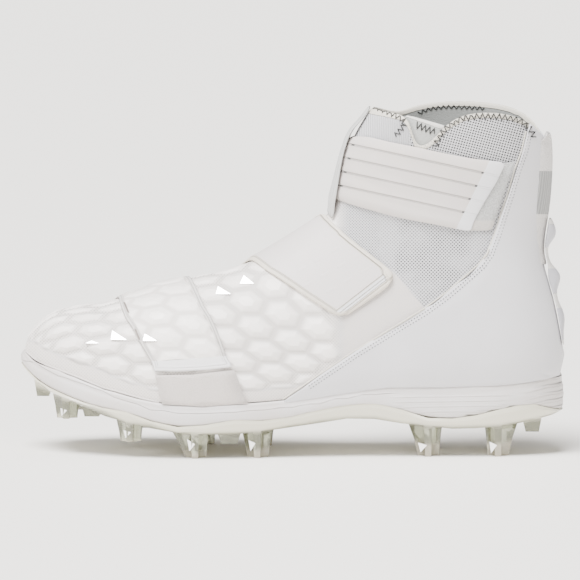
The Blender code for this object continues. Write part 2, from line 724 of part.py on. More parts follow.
def quarter_sheets():
    """Points of the heel panel's two halves, row by row, from the seam to the bite line or the back."""
    seam = np.array(QUARTER_SEAM)
    seam_u, seam_angle = locate(seam[:, 0], seam[:, 1])
    share = np.linspace(0, 1, QUARTER_COLUMNS) ** QUARTER_CROWDING
    sheets = []
    for side in (-1, 1):
        low = np.array(QUARTER_ROWS)
        start = np.interp(low, seam_u, seam_angle)[:, None]
        end = bite_angle(low, side, QUARTER_CLEAR)[:, None]
        angle = end - np.maximum(end - start, SHORTEST_ROW) * (1 - share)
        row = np.repeat(low[:, None], QUARTER_COLUMNS, axis=1)
        for step in range(1, QUARTER_TOP_ROWS + 1):
            level_share = step / QUARTER_TOP_ROWS
            high = np.interp(low[-1] + (seam_u[-1] - low[-1]) * level_share, seam_u, seam_angle)
            turn = high + (np.pi - high) * share
            top = rim_row(side * np.minimum(turn, np.pi - 1e-6)) - QUARTER_BELOW_RIM
            angle = np.concatenate([angle, turn[None, :]])
            row = np.concatenate([row, (low[-1] + (top - low[-1]) * level_share)[None, :]])
        sheets.append(skin(row, side * angle, np.full(row.shape, QUARTER_STANDS)))
    return sheets


def slab(name, row, angle, low, high, look, collection):
    """A closed solid over a grid of places on the skin, between two heights in mm."""
    rows, columns = row.shape
    count = rows * columns
    outer = skin(row, angle, np.broadcast_to(high, row.shape) * mm).reshape(-1, 3)
    inner = skin(row, angle, np.broadcast_to(low, row.shape) * mm).reshape(-1, 3)
    faces = grid_faces(rows, columns)
    faces += [tuple(count + i for i in reversed(face)) for face in faces]
    edge = list(range(columns))
    edge += [i * columns + columns - 1 for i in range(1, rows)]
    edge += [count - 1 - j for j in range(1, columns)]
    edge += [(rows - 1 - i) * columns for i in range(1, rows - 1)]
    for one, two in zip(edge, edge[1:] + edge[:1]):
        faces.append((two, one, one + count, two + count))
    return solid(name, np.concatenate([outer, inner]), faces, look, collection)


def crossings(table, steps, across):
    """Places over a strap: steps rows along it, at shares across it."""
    rows = np.array(table)
    fore_row, fore_turn = locate(rows[:, 1], rows[:, 2])
    aft_row, aft_turn = locate(rows[:, 3], rows[:, 4])
    index = np.arange(len(rows))
    last = len(rows) - 1
    ridge = int(np.argmin(np.abs(rows[:, 0])))
    if ridge == 0:
        at = np.linspace(0, last, steps)
    else:
        before = 1 + round((steps - 1) * ridge / last)
        down = 1 - (1 - np.linspace(0, 1, before)) ** RIDGE_CROWDING
        up = np.linspace(0, 1, steps - before + 1)[1:] ** RIDGE_CROWDING
        at = np.concatenate([ridge * down, ridge + (last - ridge) * up])
    share = np.asarray(across)[None, :]
    fore_row, aft_row = (smooth(index, value, at)[:, None] for value in (fore_row, aft_row))
    fore_turn, aft_turn = (smooth(index, value * rows[:, 0], at)[:, None] for value in (fore_turn, aft_turn))
    row = fore_row * (1 - share) + aft_row * share
    angle = fore_turn * (1 - share) + aft_turn * share
    return row, angle


def strap(name, table, steps, section, look, collection, stands=STRAP_STANDS):
    """A strap with this section across it, thinned at both its ends. stands may vary along it."""
    across = np.array(section)
    row, angle = crossings(table, steps, across[:, 0])
    stands = np.broadcast_to(np.asarray(stands, float), (steps,))[:, None]
    high = stands + across[None, :, 1] - STRAP_STANDS + 0 * row
    high[[0, -1]] = stands[[0, -1]] + END_HEIGHT
    return slab(name, row, angle, stands, high, look, collection)


def centre(things, measured):
    """Moves the meshes so that what is measured stands on the floor, centred over the origin."""
    graph = bpy.context.evaluated_depsgraph_get()
    corners = []
    for thing in measured:
        mesh = thing.evaluated_get(graph).to_mesh()
        corners += [vertex.co.copy() for vertex in mesh.vertices]
    corners = np.array(corners)
    low = corners.min(axis=0)
    high = corners.max(axis=0)
    for thing in things:
        for vertex in thing.data.vertices:
            vertex.co.x -= 0.5 * (low[0] + high[0])
            vertex.co.y -= 0.5 * (low[1] + high[1])
            vertex.co.z -= low[2]


def clear_scene():
    for thing in list(bpy.data.objects):
        bpy.data.objects.remove(thing)


def main():
    clear_scene()
    cleat = bpy.data.collections.new("football_cleat")
    cutters = bpy.data.collections.new("joined_forms")
    for collection in (cleat, cutters):
        bpy.context.scene.collection.children.link(collection)
    knit = material("knit", (0.76, 0.74, 0.72), 0.75)
    foam = material("foam", (0.78, 0.77, 0.79), 0.45)
    clear = material("clear_plastic", (0.74, 0.75, 0.68), 0.12, 0.6)
    liner = material("liner", (0.62, 0.62, 0.62), 0.85)
    skin_film = material("quarter_film", (0.74, 0.74, 0.76), 0.4)
    webbing = material("webbing", (0.73, 0.69, 0.67), 0.7)
    elastic = material("elastic", (0.58, 0.58, 0.57), 0.7)
    loop_pile = material("loop_pile", (0.56, 0.56, 0.55), 0.9)
    rubber = material("spine_rubber", (0.56, 0.56, 0.57), 0.5)

    grid = upper_grid()
    rows, columns, _ = grid.shape
    upper = solid("upper", grid.reshape(-1, 3), grid_faces(rows, columns), knit, cleat)
    wall = upper.modifiers.new("wall", "SOLIDIFY")
    wall.thickness = UPPER_WALL
    wall.offset = -1
    wall.use_even_offset = False

    loop, normal = sole_loop()
    flat = np.zeros(SOLE_STATIONS + 1)
    heel = np.clip(1 - along_of(loop[:, 0]) / HEEL_RIDGES_END, 0, 1) ** 0.5
    levels = [
        level(loop, normal, -FOOTBED_INSET, lambda along: bite_height(along) - FOOTBED_DEPTH),
        level(loop, normal, -FOOTBED_BEVEL, lambda along: bite_height(along) - 0.3 * FOOTBED_DEPTH),
    ]
    for share, out, ridge in MIDSOLE_SIDE:
        levels.append(level(loop, normal, (out + ridge * heel) * mm, bite_height, midsole_low, share))
    sole_solid("midsole", levels, 1, flat, foam, cleat)

    def plate_top(along):
        return midsole_low(along) - GAP

    levels = [level(loop, normal, out * mm, plate_top, plate_low, share) for share, out in PLATE_SIDE]
    levels.append(level(loop, normal, -PLATE_RECESS, plate_top, plate_low, 0.88))
    along = along_of(loop[: SOLE_STATIONS + 1, 0])
    hollow = PLATE_HOLLOW * (plate_top(along) - plate_low(along))
    plate = sole_solid("outsole_plate", levels, 1, hollow, clear, cleat)
    make_studs(loop, clear, cutters)
    for thing in cutters.objects:
        thing.hide_render = True
        thing.display_type = "WIRE"
    union = plate.modifiers.new("studs", "BOOLEAN")
    union.operation = "UNION"
    union.operand_type = "COLLECTION"
    union.collection = cutters

    def insole_low(along):
        return bite_height(along) - FOOTBED_DEPTH + GAP

    def insole_top(along):
        return insole_low(along) + INSOLE_THICK

    inside = -(UPPER_WALL + INSOLE_INSET)
    levels = [
        level(loop, normal, inside - INSOLE_BEVEL, insole_top),
        level(loop, normal, inside - FOOTBED_BEVEL, insole_top, insole_low, 0.4),
        level(loop, normal, inside, insole_low),
    ]
    sole_solid("insole", levels, 1, flat, liner, cleat)

    points = []
    faces = []
    for sheet in quarter_sheets():
        faces += grid_faces(sheet.shape[0], sheet.shape[1], start=len(points))
        points += [tuple(p) for p in sheet.reshape(-1, 3)]
    quarter = solid("heel_quarter", points, faces, skin_film, cleat)
    sheet = quarter.modifiers.new("sheet", "SOLIDIFY")
    sheet.thickness = QUARTER_THICK
    sheet.offset = 1
    sheet.use_even_offset = False

    strap("midfoot_strap", MIDFOOT_STRAP, 19, MIDFOOT_SECTION, webbing, cleat)
    strap("forefoot_strap", FOREFOOT_STRAP, 18, FOREFOOT_SECTION, webbing, cleat, STRAP_STANDS + 0.15)
    strap("strap_base", STRAP_BASE, 4, FLAT_SECTION, webbing, cleat)
    strap("strap_patch", STRAP_PATCH, 4, FLAT_SECTION, loop_pile, cleat, PATCH_STANDS)
    strap("collar_gusset", COLLAR_GUSSET, 5, FLAT_SECTION, elastic, cleat, GUSSET_STANDS)
    ribs = [(0.0, EDGE_HEIGHT)]
    for rib in range(ANKLE_RIBS):
        ribs += [((rib + 0.5) / ANKLE_RIBS, RIB_HEIGHT), ((rib + 1.0) / ANKLE_RIBS, GROOVE_HEIGHT)]
    ribs[-1] = (1.0, EDGE_HEIGHT)
    stands = np.interp(np.arange(ANKLE_STEPS), (0, 1, 4), (TIP_STANDS, TIP_STANDS, STRAP_STANDS))
    strap("ankle_strap", ANKLE_STRAP, ANKLE_STEPS, ribs, webbing, cleat, stands)

    band = np.array(KEEPER_BAND)
    turn = np.radians(band[:, 1])[:, None] * np.linspace(-1, 1, BAND_COLUMNS)[None, :]
    row = np.repeat(band[:, :1], BAND_COLUMNS, axis=1)
    slab("keeper_band", row, turn, band[:, 2:], band[:, 2:] + BAND_THICK, elastic, cleat)
    tab = np.array(PULL_TAB)
    turn = np.pi + np.radians(tab[:, 1])[:, None] * np.linspace(-1, 1, BAND_COLUMNS)[None, :]
    turn = np.where(turn > np.pi, turn - 2 * np.pi, turn)
    row = np.repeat(tab[:, :1], BAND_COLUMNS, axis=1)
    slab("heel_pull_tab", row, turn, tab[:, 2:], tab[:, 2:] + TAB_THICK, elastic, cleat)
    spine = np.array(HEEL_SPINE)
    columns = np.array(SPINE_COLUMNS)
    turn = np.pi + np.radians(columns[:, 0])[None, :] + 0 * spine[:, :1]
    turn = np.where(turn > np.pi, turn - 2 * np.pi, turn)
    row = spine[:, :1] + 0 * columns[None, :, 0]
    crown = spine[:, 1:2] + END_HEIGHT + (spine[:, 2:3] - spine[:, 1:2] - END_HEIGHT) * columns[None, :, 1]
    slab("heel_spine", row, turn, spine[:, 1:2], crown, rubber, cleat)
    centre([*cleat.objects, *cutters.objects], cleat.objects)


main()
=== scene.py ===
import math

import bpy
import numpy as np
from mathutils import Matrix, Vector
from mathutils.bvhtree import BVHTree
from mathutils.kdtree import KDTree


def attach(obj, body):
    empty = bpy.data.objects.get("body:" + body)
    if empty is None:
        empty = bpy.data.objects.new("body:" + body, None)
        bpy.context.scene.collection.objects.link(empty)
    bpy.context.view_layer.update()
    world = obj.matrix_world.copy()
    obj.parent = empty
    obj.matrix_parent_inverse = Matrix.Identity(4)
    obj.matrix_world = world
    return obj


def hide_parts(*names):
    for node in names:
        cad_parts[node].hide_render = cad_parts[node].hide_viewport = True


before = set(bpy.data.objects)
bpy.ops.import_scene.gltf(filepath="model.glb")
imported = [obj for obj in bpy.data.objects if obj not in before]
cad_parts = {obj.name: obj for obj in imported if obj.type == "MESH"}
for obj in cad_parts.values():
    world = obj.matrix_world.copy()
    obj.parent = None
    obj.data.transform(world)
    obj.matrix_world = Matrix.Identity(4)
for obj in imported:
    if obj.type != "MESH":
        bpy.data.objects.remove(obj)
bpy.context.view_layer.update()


# The camera stands low beside the strap side of the shoe, far off and a little towards the heel,
# as the picture was taken.
IMAGE = 580
FIELD = 0.327
SENSOR = 36
CAMERA_DISTANCE = 2.4
CAMERA_UP = math.radians(4.5)
CAMERA_ROUND = math.radians(3.0)
AIM = Vector((-0.0011, 0.0014, 0.0908))

away = Vector((math.sin(CAMERA_ROUND), -math.cos(CAMERA_ROUND), math.tan(CAMERA_UP))).normalized()
rightwards = Vector((math.cos(CAMERA_ROUND), math.sin(CAMERA_ROUND), 0))
upwards = away.cross(rightwards)
eye = AIM + away * CAMERA_DISTANCE
camera_data = bpy.data.cameras.new("camera")
camera_data.sensor_width = SENSOR
camera_data.lens = SENSOR * CAMERA_DISTANCE / FIELD
camera = bpy.data.objects.new("camera", camera_data)
camera.location = eye
camera.rotation_euler = (-away).to_track_quat("-Z", "Y").to_euler()
bpy.context.scene.collection.objects.link(camera)
bpy.context.scene.camera = camera


# The upper is one knitted bootie, open at the collar and closed by the sole. Foam pods are fused to
# the knit over the forefoot, and the ankle is an open mesh.
HEM_ANGLE = math.radians(50)
HEM_STEP = 0.0008
NO_HEM = 0.1
SAME_POINT = 2e-5
QUAD_ANGLES = (math.radians(50), math.radians(60))


def sewn(node, name, levels, crisp=0.0):
    """A piece cut to the same shape as a solid of the frame, with its facets smoothed away. crisp
    keeps its hems sharp. The distance from the hem is written on the piece."""
    piece = bpy.data.objects.new(name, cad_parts[node].data.copy())
    bpy.context.scene.collection.objects.link(piece)
    bpy.ops.object.select_all(action="DESELECT")
    bpy.context.view_layer.objects.active = piece
    piece.select_set(True)
    piece.data.materials.clear()
    bpy.ops.object.mode_set(mode="EDIT")
    bpy.ops.mesh.select_all(action="SELECT")
    bpy.ops.mesh.remove_doubles(threshold=SAME_POINT)
    bpy.ops.mesh.tris_convert_to_quads(face_threshold=QUAD_ANGLES[0], shape_threshold=QUAD_ANGLES[1])
    bpy.ops.mesh.normals_make_consistent(inside=False)
    bpy.ops.mesh.select_all(action="DESELECT")
    bpy.ops.mesh.edges_select_sharp(sharpness=HEM_ANGLE)
    if crisp:
        bpy.ops.transform.edge_crease(value=crisp)
    bpy.ops.object.mode_set(mode="OBJECT")
    hems = []
    for edge in piece.data.edges:
        if edge.select:
            one, two = (piece.data.vertices[i].co for i in edge.vertices)
            steps = 1 + int((two - one).length / HEM_STEP)
            hems += [one.lerp(two, step / steps) for step in range(steps + 1)]
    near_hem = KDTree(len(hems))
    for number, spot in enumerate(hems):
        near_hem.insert(spot, number)
    near_hem.balance()
    if levels:
        rounding = piece.modifiers.new("rounding", "SUBSURF")
        rounding.levels = levels
        rounding.render_levels = levels
        bpy.ops.object.modifier_apply(modifier="rounding")
    bpy.ops.object.shade_smooth()
    mark(piece, "hem", [near_hem.find(v.co)[2] if hems else NO_HEM for v in piece.data.vertices])
    mark_picture(piece)
    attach(piece, "root")
    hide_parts(node)
    return piece


def places(piece):
    """The points of a piece, one row each."""
    points = np.empty(len(piece.data.vertices) * 3)
    piece.data.vertices.foreach_get("co", points)
    return points.reshape(-1, 3)


def mark(piece, name, values):
    """Writes one number for each point of a piece, for its material to read."""
    layer = piece.data.attributes.new(name, "FLOAT", "POINT")
    layer.data.foreach_set("value", np.asarray(values, dtype=np.float32))


def mark_picture(piece):
    """Writes where each point lies in the side picture, in pixels, the same on both sides of the shoe."""
    points = places(piece)
    points[:, 1] = -np.abs(points[:, 1])
    apart = points - np.array(eye)
    depth = -apart @ np.array(away)
    scale = IMAGE * CAMERA_DISTANCE / FIELD / depth
    mark(piece, "across", IMAGE / 2 + apart @ np.array(rightwards) * scale)
    mark(piece, "down", IMAGE / 2 - apart @ np.array(upwards) * scale)


class Socket:
    """A value in a material that varies over the surface, so that patterns read as arithmetic."""

    def __init__(self, tree, link):
        self.tree = tree
        self.link = link

    def make(self, kind, settings=None, inputs=None, out=0):
        node = self.tree.nodes.new(kind)
        for name, value in (settings or {}).items():
            setattr(node, name, value)
        for key, value in (inputs or {}).items():
            if isinstance(value, Socket):
                self.tree.links.new(value.link, node.inputs[key])
            else:
                node.inputs[key].default_value = value
        return Socket(self.tree, node.outputs[out])

    def math(self, operation, *others):
        return self.make("ShaderNodeMath", {"operation": operation}, dict(enumerate((self, *others))))

    def __add__(self, other):
        return self.math("ADD", other)

    def __sub__(self, other):
        return self.math("SUBTRACT", other)

    def __rsub__(self, other):
        return self * -1 + other

    def __mul__(self, other):
        return self.math("MULTIPLY", other)

    def __abs__(self):
        return self.math("ABSOLUTE")

    __radd__ = __add__
    __rmul__ = __mul__

    def least(self, other):
        return self.math("MINIMUM", other)

    def most(self, other):
        return self.math("MAXIMUM", other)

    def ramp(self, low, high):
        """0 below low and 1 above high, with soft ends."""
        settings = {"interpolation_type": "SMOOTHSTEP"}
        return self.make("ShaderNodeMapRange", settings, {0: self, 1: low, 2: high})

    def tint(self, first, second):
        """From the first colour at 0 to the second at 1."""
        ends = {0: self, 6: (*first, 1) if isinstance(first, tuple) else first}
        ends[7] = (*second, 1) if isinstance(second, tuple) else second
        return self.make("ShaderNodeMix", {"data_type": "RGBA"}, ends, 2)

    def noise(self, scale, detail=2.0):
        return self.make("ShaderNodeTexNoise", {}, {"Vector": self, "Scale": scale, "Detail": detail})

    def attribute(self, name):
        return self.make("ShaderNodeAttribute", {"attribute_name": name}, {}, 2)

    def picture(self):
        """Where the surface lies in the side picture, in pixels across and down."""
        return self.attribute("across"), self.attribute("down")

    def band(self, middle, half, soft=0.4):
        """1 where the value is within half of middle, 0 elsewhere."""
        return 1 - abs(self - middle).ramp(half - soft / 2, half + soft / 2)

    def axes(self):
        return [self.make("ShaderNodeSeparateXYZ", {}, {0: self}, out) for out in range(3)]


def finish_of(name, roughness, **constants):
    """A new material, its shader, and the object's own coordinates to draw patterns with."""
    made = bpy.data.materials.new(name)
    made.use_nodes = True
    shader = made.node_tree.nodes["Principled BSDF"]
    shader.inputs["Roughness"].default_value = roughness
    for key, value in constants.items():
        shader.inputs[key.replace("_", " ")].default_value = value
    places_in = made.node_tree.nodes.new("ShaderNodeTexCoord")
    return made, shader, Socket(made.node_tree, places_in.outputs["Object"])


def wear(made, shader, colour=None, relief=None, depth=0.001, roughness=None):
    """Joins a colour, a relief in shares of depth, and a roughness to a material's shader."""
    links = made.node_tree.links
    if colour is not None:
        links.new(colour.link, shader.inputs["Base Color"])
    if roughness is not None:
        links.new(roughness.link, shader.inputs["Roughness"])
    if relief is not None:
        bumped = relief.make("ShaderNodeBump", {}, {"Strength": 1.0, "Distance": depth, "Height": relief})
        links.new(bumped.link, shader.inputs["Normal"])
    return made


def hexagons(across, down):
    """How far a point is from the middle of its six-sided cell: 0 at the middle, 0.5 on its edge."""
    height = math.sqrt(3)
    nearest = []
    for shift in (0.0, 0.5):
        x = (across + shift).math("FRACT") - 0.5
        y = ((down * (1 / height) + shift).math("FRACT") - 0.5) * height
        nearest.append((x, y, x * x + y * y))
    (x1, y1, far1), (x2, y2, far2) = nearest
    second = far1.math("GREATER_THAN", far2)
    x = abs(x1 + (x2 - x1) * second)
    y = abs(y1 + (y2 - y1) * second)
    return x.most(x * 0.5 + y * (height / 2))


def beside(across, down, first, second):
    """Pixels from a line through two places, above 0 on its right as it is walked."""
    length = math.hypot(second[0] - first[0], second[1] - first[1])
    step = ((second[0] - first[0]) / length, (second[1] - first[1]) / length)
    return (down - first[1]) * step[0] - (across - first[0]) * step[1]


def dots(across, down, pitch, radius):
    """Round holes on a square grid."""
    x = (across * (1 / pitch)).math("FRACT") - 0.5
    y = (down * (1 / pitch)).math("FRACT") - 0.5
    return 1 - (x * x + y * y).math("SQRT").ramp(radius * 0.75, radius * 1.25)


def moved(piece, points):
    """Puts a piece's points at new places."""
    piece.data.vertices.foreach_set("co", np.asarray(points, dtype=np.float32).ravel())
    piece.data.update()


def eased(values, low, high):
    """0 below low and 1 above high, with soft ends."""
    share = np.clip((values - low) / (high - low), 0, 1)
    return share * share * (3 - 2 * share)


# The inner side's rim stands a little higher than the solid's, from the flap round to the heel. The
# rows say where the rise starts and is full, along the shoe, towards the inner side and upwards.
INNER_RIM_RISE = 0.0024
RISE_FROM = ((0.056, 0.072), (0.0, 0.018), (0.160, 0.186))
upper = sewn("upper", "knit_upper", 2)
points = places(upper)
raised = np.prod([eased(points[:, axis], *span) for axis, span in enumerate(RISE_FROM)], axis=0)
points[:, 2] += INNER_RIM_RISE * raised
moved(upper, points)


# The bite line is the midsole's upper edge. Marks tell the material where the knit starts above it,
# how far below the rim it is, and which of its walls look into the shoe.
midsole_points = places(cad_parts["midsole"])
BITE_STEPS = 60
BITE_REACH = 0.010
bite_x = np.linspace(midsole_points[:, 0].min(), midsole_points[:, 0].max(), BITE_STEPS)
bite_z = [midsole_points[np.abs(midsole_points[:, 0] - x) < BITE_REACH, 2].max() for x in bite_x]


def above_bite(points):
    """How far points stand over the midsole's upper edge."""
    return points[:, 2] - np.interp(points[:, 0], bite_x, bite_z)


mark(upper, "rise", above_bite(points))

SHAFT_MIDDLE = (0.0875, 0.0013)
SHAFT_FOOT = 0.150
SHAFT_RADIUS = 0.036
RIM_BINS = 144
RIM_OVERLAP = 2.2
RIM_BELT = 0.03
FAR_FROM_RIM = 0.1
LINED_FROM = 0.02
azimuth = np.arctan2(points[:, 1] - SHAFT_MIDDLE[1], points[:, 0] - SHAFT_MIDDLE[0])
shaft = points[:, 2] > SHAFT_FOOT
bins = np.linspace(-np.pi, np.pi, RIM_BINS + 1)
reach = np.pi / RIM_BINS * RIM_OVERLAP
turns = [np.abs((azimuth - b + np.pi) % (2 * np.pi) - np.pi) < reach for b in bins]
rim_z = np.array([points[shaft & turn, 2].max() for turn in turns])
rim_slope = np.interp(azimuth, bins, np.gradient(rim_z, bins * SHAFT_RADIUS))
below_rim = (np.interp(azimuth, bins, rim_z) - points[:, 2]) / np.sqrt(1 + rim_slope**2)
mark(upper, "below_rim", np.where(points[:, 2] > SHAFT_FOOT - RIM_BELT, below_rim, FAR_FROM_RIM))

normals = np.empty(points.size)
upper.data.vertices.foreach_get("normal", normals)
normals = normals.reshape(-1, 3)
outwards = (normals[:, :2] * (points[:, :2] - np.array(SHAFT_MIDDLE))).sum(axis=1)
mark(upper, "inside", (outwards < 0) & (points[:, 0] > LINED_FROM))

GIRTH_RADIUS = 0.046
GIRTH_MIDDLE = 0.038


def girth_of(points):
    """How far round the foot points are from the ridge on top."""
    return np.abs(np.arctan2(points[:, 1], points[:, 2] - GIRTH_MIDDLE)) * GIRTH_RADIUS


def mark_girth(piece):
    """Writes a piece's girths for its pods to be drawn by."""
    mark(piece, "girth", girth_of(places(piece)))


def shell_of(*pieces):
    """What a line of sight or a stitch can rest on: the skins of these pieces taken together."""
    corners, faces = [], []
    for piece in pieces:
        start = len(corners)
        corners += [tuple(v.co) for v in piece.data.vertices]
        faces += [tuple(start + i for i in face.vertices) for face in piece.data.polygons]
    return BVHTree.FromPolygons(corners, faces)


def pods_at(points):
    """The same relief that pods() draws, 0 to 1, for points of a mesh."""
    size = POD_LONG[0] * POD_SHORT[1] - POD_LONG[1] * POD_SHORT[0]
    first = (points[:, 0] * POD_SHORT[1] - girth_of(points) * POD_SHORT[0]) / size
    second = (girth_of(points) * POD_LONG[0] - points[:, 0] * POD_LONG[1]) / size
    height = math.sqrt(3)
    cell = np.full(len(points), 9.0)
    for shift in (0.0, 0.5):
        x = np.abs((first + second * 0.5 + shift) % 1 - 0.5)
        y = np.abs((second * 0.5 + shift) % 1 - 0.5) * height
        cell = np.minimum(cell, np.maximum(x, x * 0.5 + y * height / 2))
    return np.clip((POD_EDGE - cell) * POD_SLOPE, 0, 1)


# The pods repeat by two steps, each along the shoe and round the foot, in metres. They end where a
# strap or the heel panel lies over them, above the midsole, and behind the ball.
mark_girth(upper)
POD_LONG = (0.0203, 0.0056)
POD_SHORT = (0.0056, 0.0121)
POD_EDGE = 0.455
POD_SLOPE = 3.8
POD_RISE = 0.0006
PODS_END = (0.020, 0.034)
PODS_START = (0.007, 0.010)
COVER_CLEAR = (0.0012, 0.0040)
COVERS = ("forefoot_strap", "midfoot_strap", "strap_base", "heel_quarter")
covers = shell_of(*(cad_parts[node] for node in COVERS))
from_cover = np.array([covers.find_nearest(Vector(point))[3] for point in points])
facing_out = normals[:, 1] * points[:, 1] + normals[:, 2] * (points[:, 2] - GIRTH_MIDDLE) > 0
share = pods_at(points) * eased(from_cover, *COVER_CLEAR) * facing_out
share *= eased(above_bite(points), *PODS_START) * (1 - eased(points[:, 0], *PODS_END))
points += normals * (share * POD_RISE)[:, None]
moved(upper, points)


def pods(at, girth):
    """Relief of the foam pods over the forefoot: small flat tops with long straight sloping sides."""
    x = at.axes()[0]
    size = POD_LONG[0] * POD_SHORT[1] - POD_LONG[1] * POD_SHORT[0]
    first = (x * POD_SHORT[1] - girth * POD_SHORT[0]) * (1 / size)
    second = (girth * POD_LONG[0] - x * POD_LONG[1]) * (1 / size)
    cell = hexagons(first + second * 0.5, second * (math.sqrt(3) / 2))
    return (POD_EDGE - cell).math("MULTIPLY", POD_SLOPE).least(1.0).most(0.0)


# Where the cloths of the upper change, in pixels of the side picture. FOREFOOT_FOOT, RAND_TOP,
# BINDING_FOOT and MIDDLE_OF_SHOE are in metres. Holes have a pitch in pixels and a radius in pitches.
FOREFOOT_END = (330, 352)
FOREFOOT_FOOT = (0.006, 0.009)
POD_FADE = (318, 345)
SEAM_RUN = ((285, 402), (425, 306))
SEAM_FADE = (-10, -3)
SUEDE_EDGE = ((384, 258), (425, 306))
SUEDE_FRONT = (338, 346)
SUEDE_HIGH = (266, 274)
STRAP_SLOPE = 0.2155
COLLAR_LOW = (67.5, 70.5)
FLAP_END = (408, 412)
FINE_MESH_END = (376, 384)
WIDE_MESH_START = (392, 398)
RAND_END = (345, 352)
RAND_TOP = (0.006, 0.008)
BINDING_FOOT = (0.0027, 0.0031)
FINE_HOLES = (2.05, 0.28)
WIDE_HOLES = (2.5, 0.30)
COLLAR_HOLES = (2.75, 0.30)
KNIT_HOLES = (2.3, 0.32)
MIDDLE_OF_SHOE = (-0.002, 0.002)
POD_WHITE = (0.97, 0.915, 0.875)
POD_SEAM_SHADE = (0.74, 0.69, 0.655)
MESH_WHITE = (0.565, 0.56, 0.58)
HOLE_GREY = (0.03, 0.03, 0.03)
SUEDE = (0.63, 0.585, 0.56)
RAND_WHITE = (0.78, 0.725, 0.69)
BINDING_CREAM = (0.66, 0.62, 0.54)
LINING_GREY = (0.24, 0.245, 0.235)
KNIT_DEPTH = 0.0024
knit, shader, at = finish_of("knit", 0.5, Sheen_Weight=0.1)
across, down = at.picture()
rise = at.attribute("rise")
inside = at.attribute("inside").ramp(0.4, 0.6)
pod = pods(at, at.attribute("girth")) * (1 - across.ramp(*POD_FADE) * 0.65)
pod = pod * (1 - beside(across, down, *SEAM_RUN).ramp(*SEAM_FADE) * 0.8)
forefoot = (1 - across.ramp(*FOREFOOT_END)) * rise.ramp(*FOREFOOT_FOOT)
suede = beside(across, down, *SUEDE_EDGE).ramp(0, 3) * across.ramp(*SUEDE_FRONT) * down.ramp(*SUEDE_HIGH)
suede = suede * (1 - inside) * (1 - at.axes()[1].ramp(*MIDDLE_OF_SHOE))
collar = 1 - (down - across * STRAP_SLOPE).ramp(*COLLAR_LOW)
flap = collar * (1 - across.ramp(*FLAP_END))
ankle = across.ramp(*FOREFOOT_END) * (1 - suede) * (1 - collar)
fine = (1 - across.ramp(*FINE_MESH_END)) * ankle
wide = across.ramp(*WIDE_MESH_START) * ankle
slanted = (across + down) * math.sqrt(0.5)
against = (across - down) * math.sqrt(0.5)
patches = at.noise(75).ramp(0.32, 0.68) * wide
wide_holes = dots(slanted, against, *WIDE_HOLES) * (ankle - fine).most(0.0) * (patches * 0.45 + 0.5)
holes = (dots(slanted, against, *FINE_HOLES) * fine * 0.8).most(wide_holes)
holes = holes.most(dots(across + down * 0.3, down - across * 0.25, *COLLAR_HOLES) * (collar - flap))
holes = holes * (1 - inside)
knit_dots = dots(slanted, against, *KNIT_HOLES)
between = forefoot * (1 - pod * 1.6).most(0.0)
binding = 1 - at.attribute("below_rim").ramp(*BINDING_FOOT)
ribs = ((across * 2.9).math("SINE") * 0.5 + 0.5) * (1 - binding) * (1 - inside) * flap
rand = (1 - rise.ramp(*RAND_TOP)) * (1 - across.ramp(*RAND_END))
relief = forefoot * pod * 0.7 + at.noise(1500, 3.0) * 0.10 - holes * 0.3
relief = relief + ribs * 0.2 + binding * 0.5 + suede * 0.15
# Painted shade: the knit between the pods is tinted darker, for the shade that falls between them.
cloth = (pod * forefoot * 2.6).least(1.0).tint(POD_SEAM_SHADE, POD_WHITE)
cloth = (knit_dots * between * 0.6).tint(cloth, (0.24, 0.23, 0.22))
cloth = (1 - forefoot).tint(cloth, MESH_WHITE)
cloth = suede.tint(cloth, SUEDE)
cloth = (ribs * 0.35).tint(cloth, (0.30, 0.30, 0.31))
cloth = (holes * (1 - forefoot)).tint(cloth, HOLE_GREY)
cloth = rand.tint(cloth, RAND_WHITE)
cloth = (knit_dots * rand * 0.35).tint(cloth, (0.30, 0.29, 0.28))
cloth = binding.tint(inside.tint(cloth, LINING_GREY), BINDING_CREAM)
gloss = 0.62 - pod * forefoot * 0.30
upper.data.materials.append(wear(knit, shader, cloth, relief, KNIT_DEPTH, gloss))


# The midsole is one moulded piece of white foam, cemented under the upper, with a fine step along
# the forefoot and shallow ridges at the waist and the heel.
def tube(name, rows, radius, look):
    """A round line through the rows of points, as a mesh that rides on the shoe."""
    curve = bpy.data.curves.new(name, "CURVE")
    curve.dimensions = "3D"
    curve.bevel_depth = radius
    curve.bevel_resolution = 1
    curve.use_fill_caps = True
    for row in rows:
        line = curve.splines.new("POLY")
        line.points.add(len(row) - 1)
        for point, place in zip(line.points, row):
            point.co = (*place, 1)
    drawn = bpy.data.objects.new(name, curve)
    bpy.context.scene.collection.objects.link(drawn)
    bpy.ops.object.select_all(action="DESELECT")
    bpy.context.view_layer.objects.active = drawn
    drawn.select_set(True)
    bpy.ops.object.convert(target="MESH")
    drawn.data.materials.clear()
    drawn.data.materials.append(look)
    bpy.ops.object.shade_smooth()
    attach(drawn, "root")
    return drawn


JOINT_CLOSED = 0.0006
TOE_JOINT_LIFT = 2.2
TOE_END = (-0.125, -0.070)
RIM_HEIGHT = (0.001, 0.004)
SOLE_HEIGHT = (0.0015, 0.004)
SOLE_SPAN = (-0.150, 0.150, 61)
SOLE_REACH = 0.006
midsole = sewn("midsole", "foam_midsole", 1)
middle = places(midsole)
lift = JOINT_CLOSED * (TOE_JOINT_LIFT - (TOE_JOINT_LIFT - 1) * eased(middle[:, 0], *TOE_END))
middle[:, 2] += lift * (1 - eased(-above_bite(middle), *RIM_HEIGHT))
sole_x = np.linspace(*SOLE_SPAN)
sole_z = [middle[np.abs(middle[:, 0] - x) < SOLE_REACH, 2].min() for x in sole_x]
above_sole = middle[:, 2] - np.interp(middle[:, 0], sole_x, sole_z)
middle[:, 2] -= JOINT_CLOSED * 1.2 * (1 - eased(above_sole, *SOLE_HEIGHT))
moved(midsole, middle)
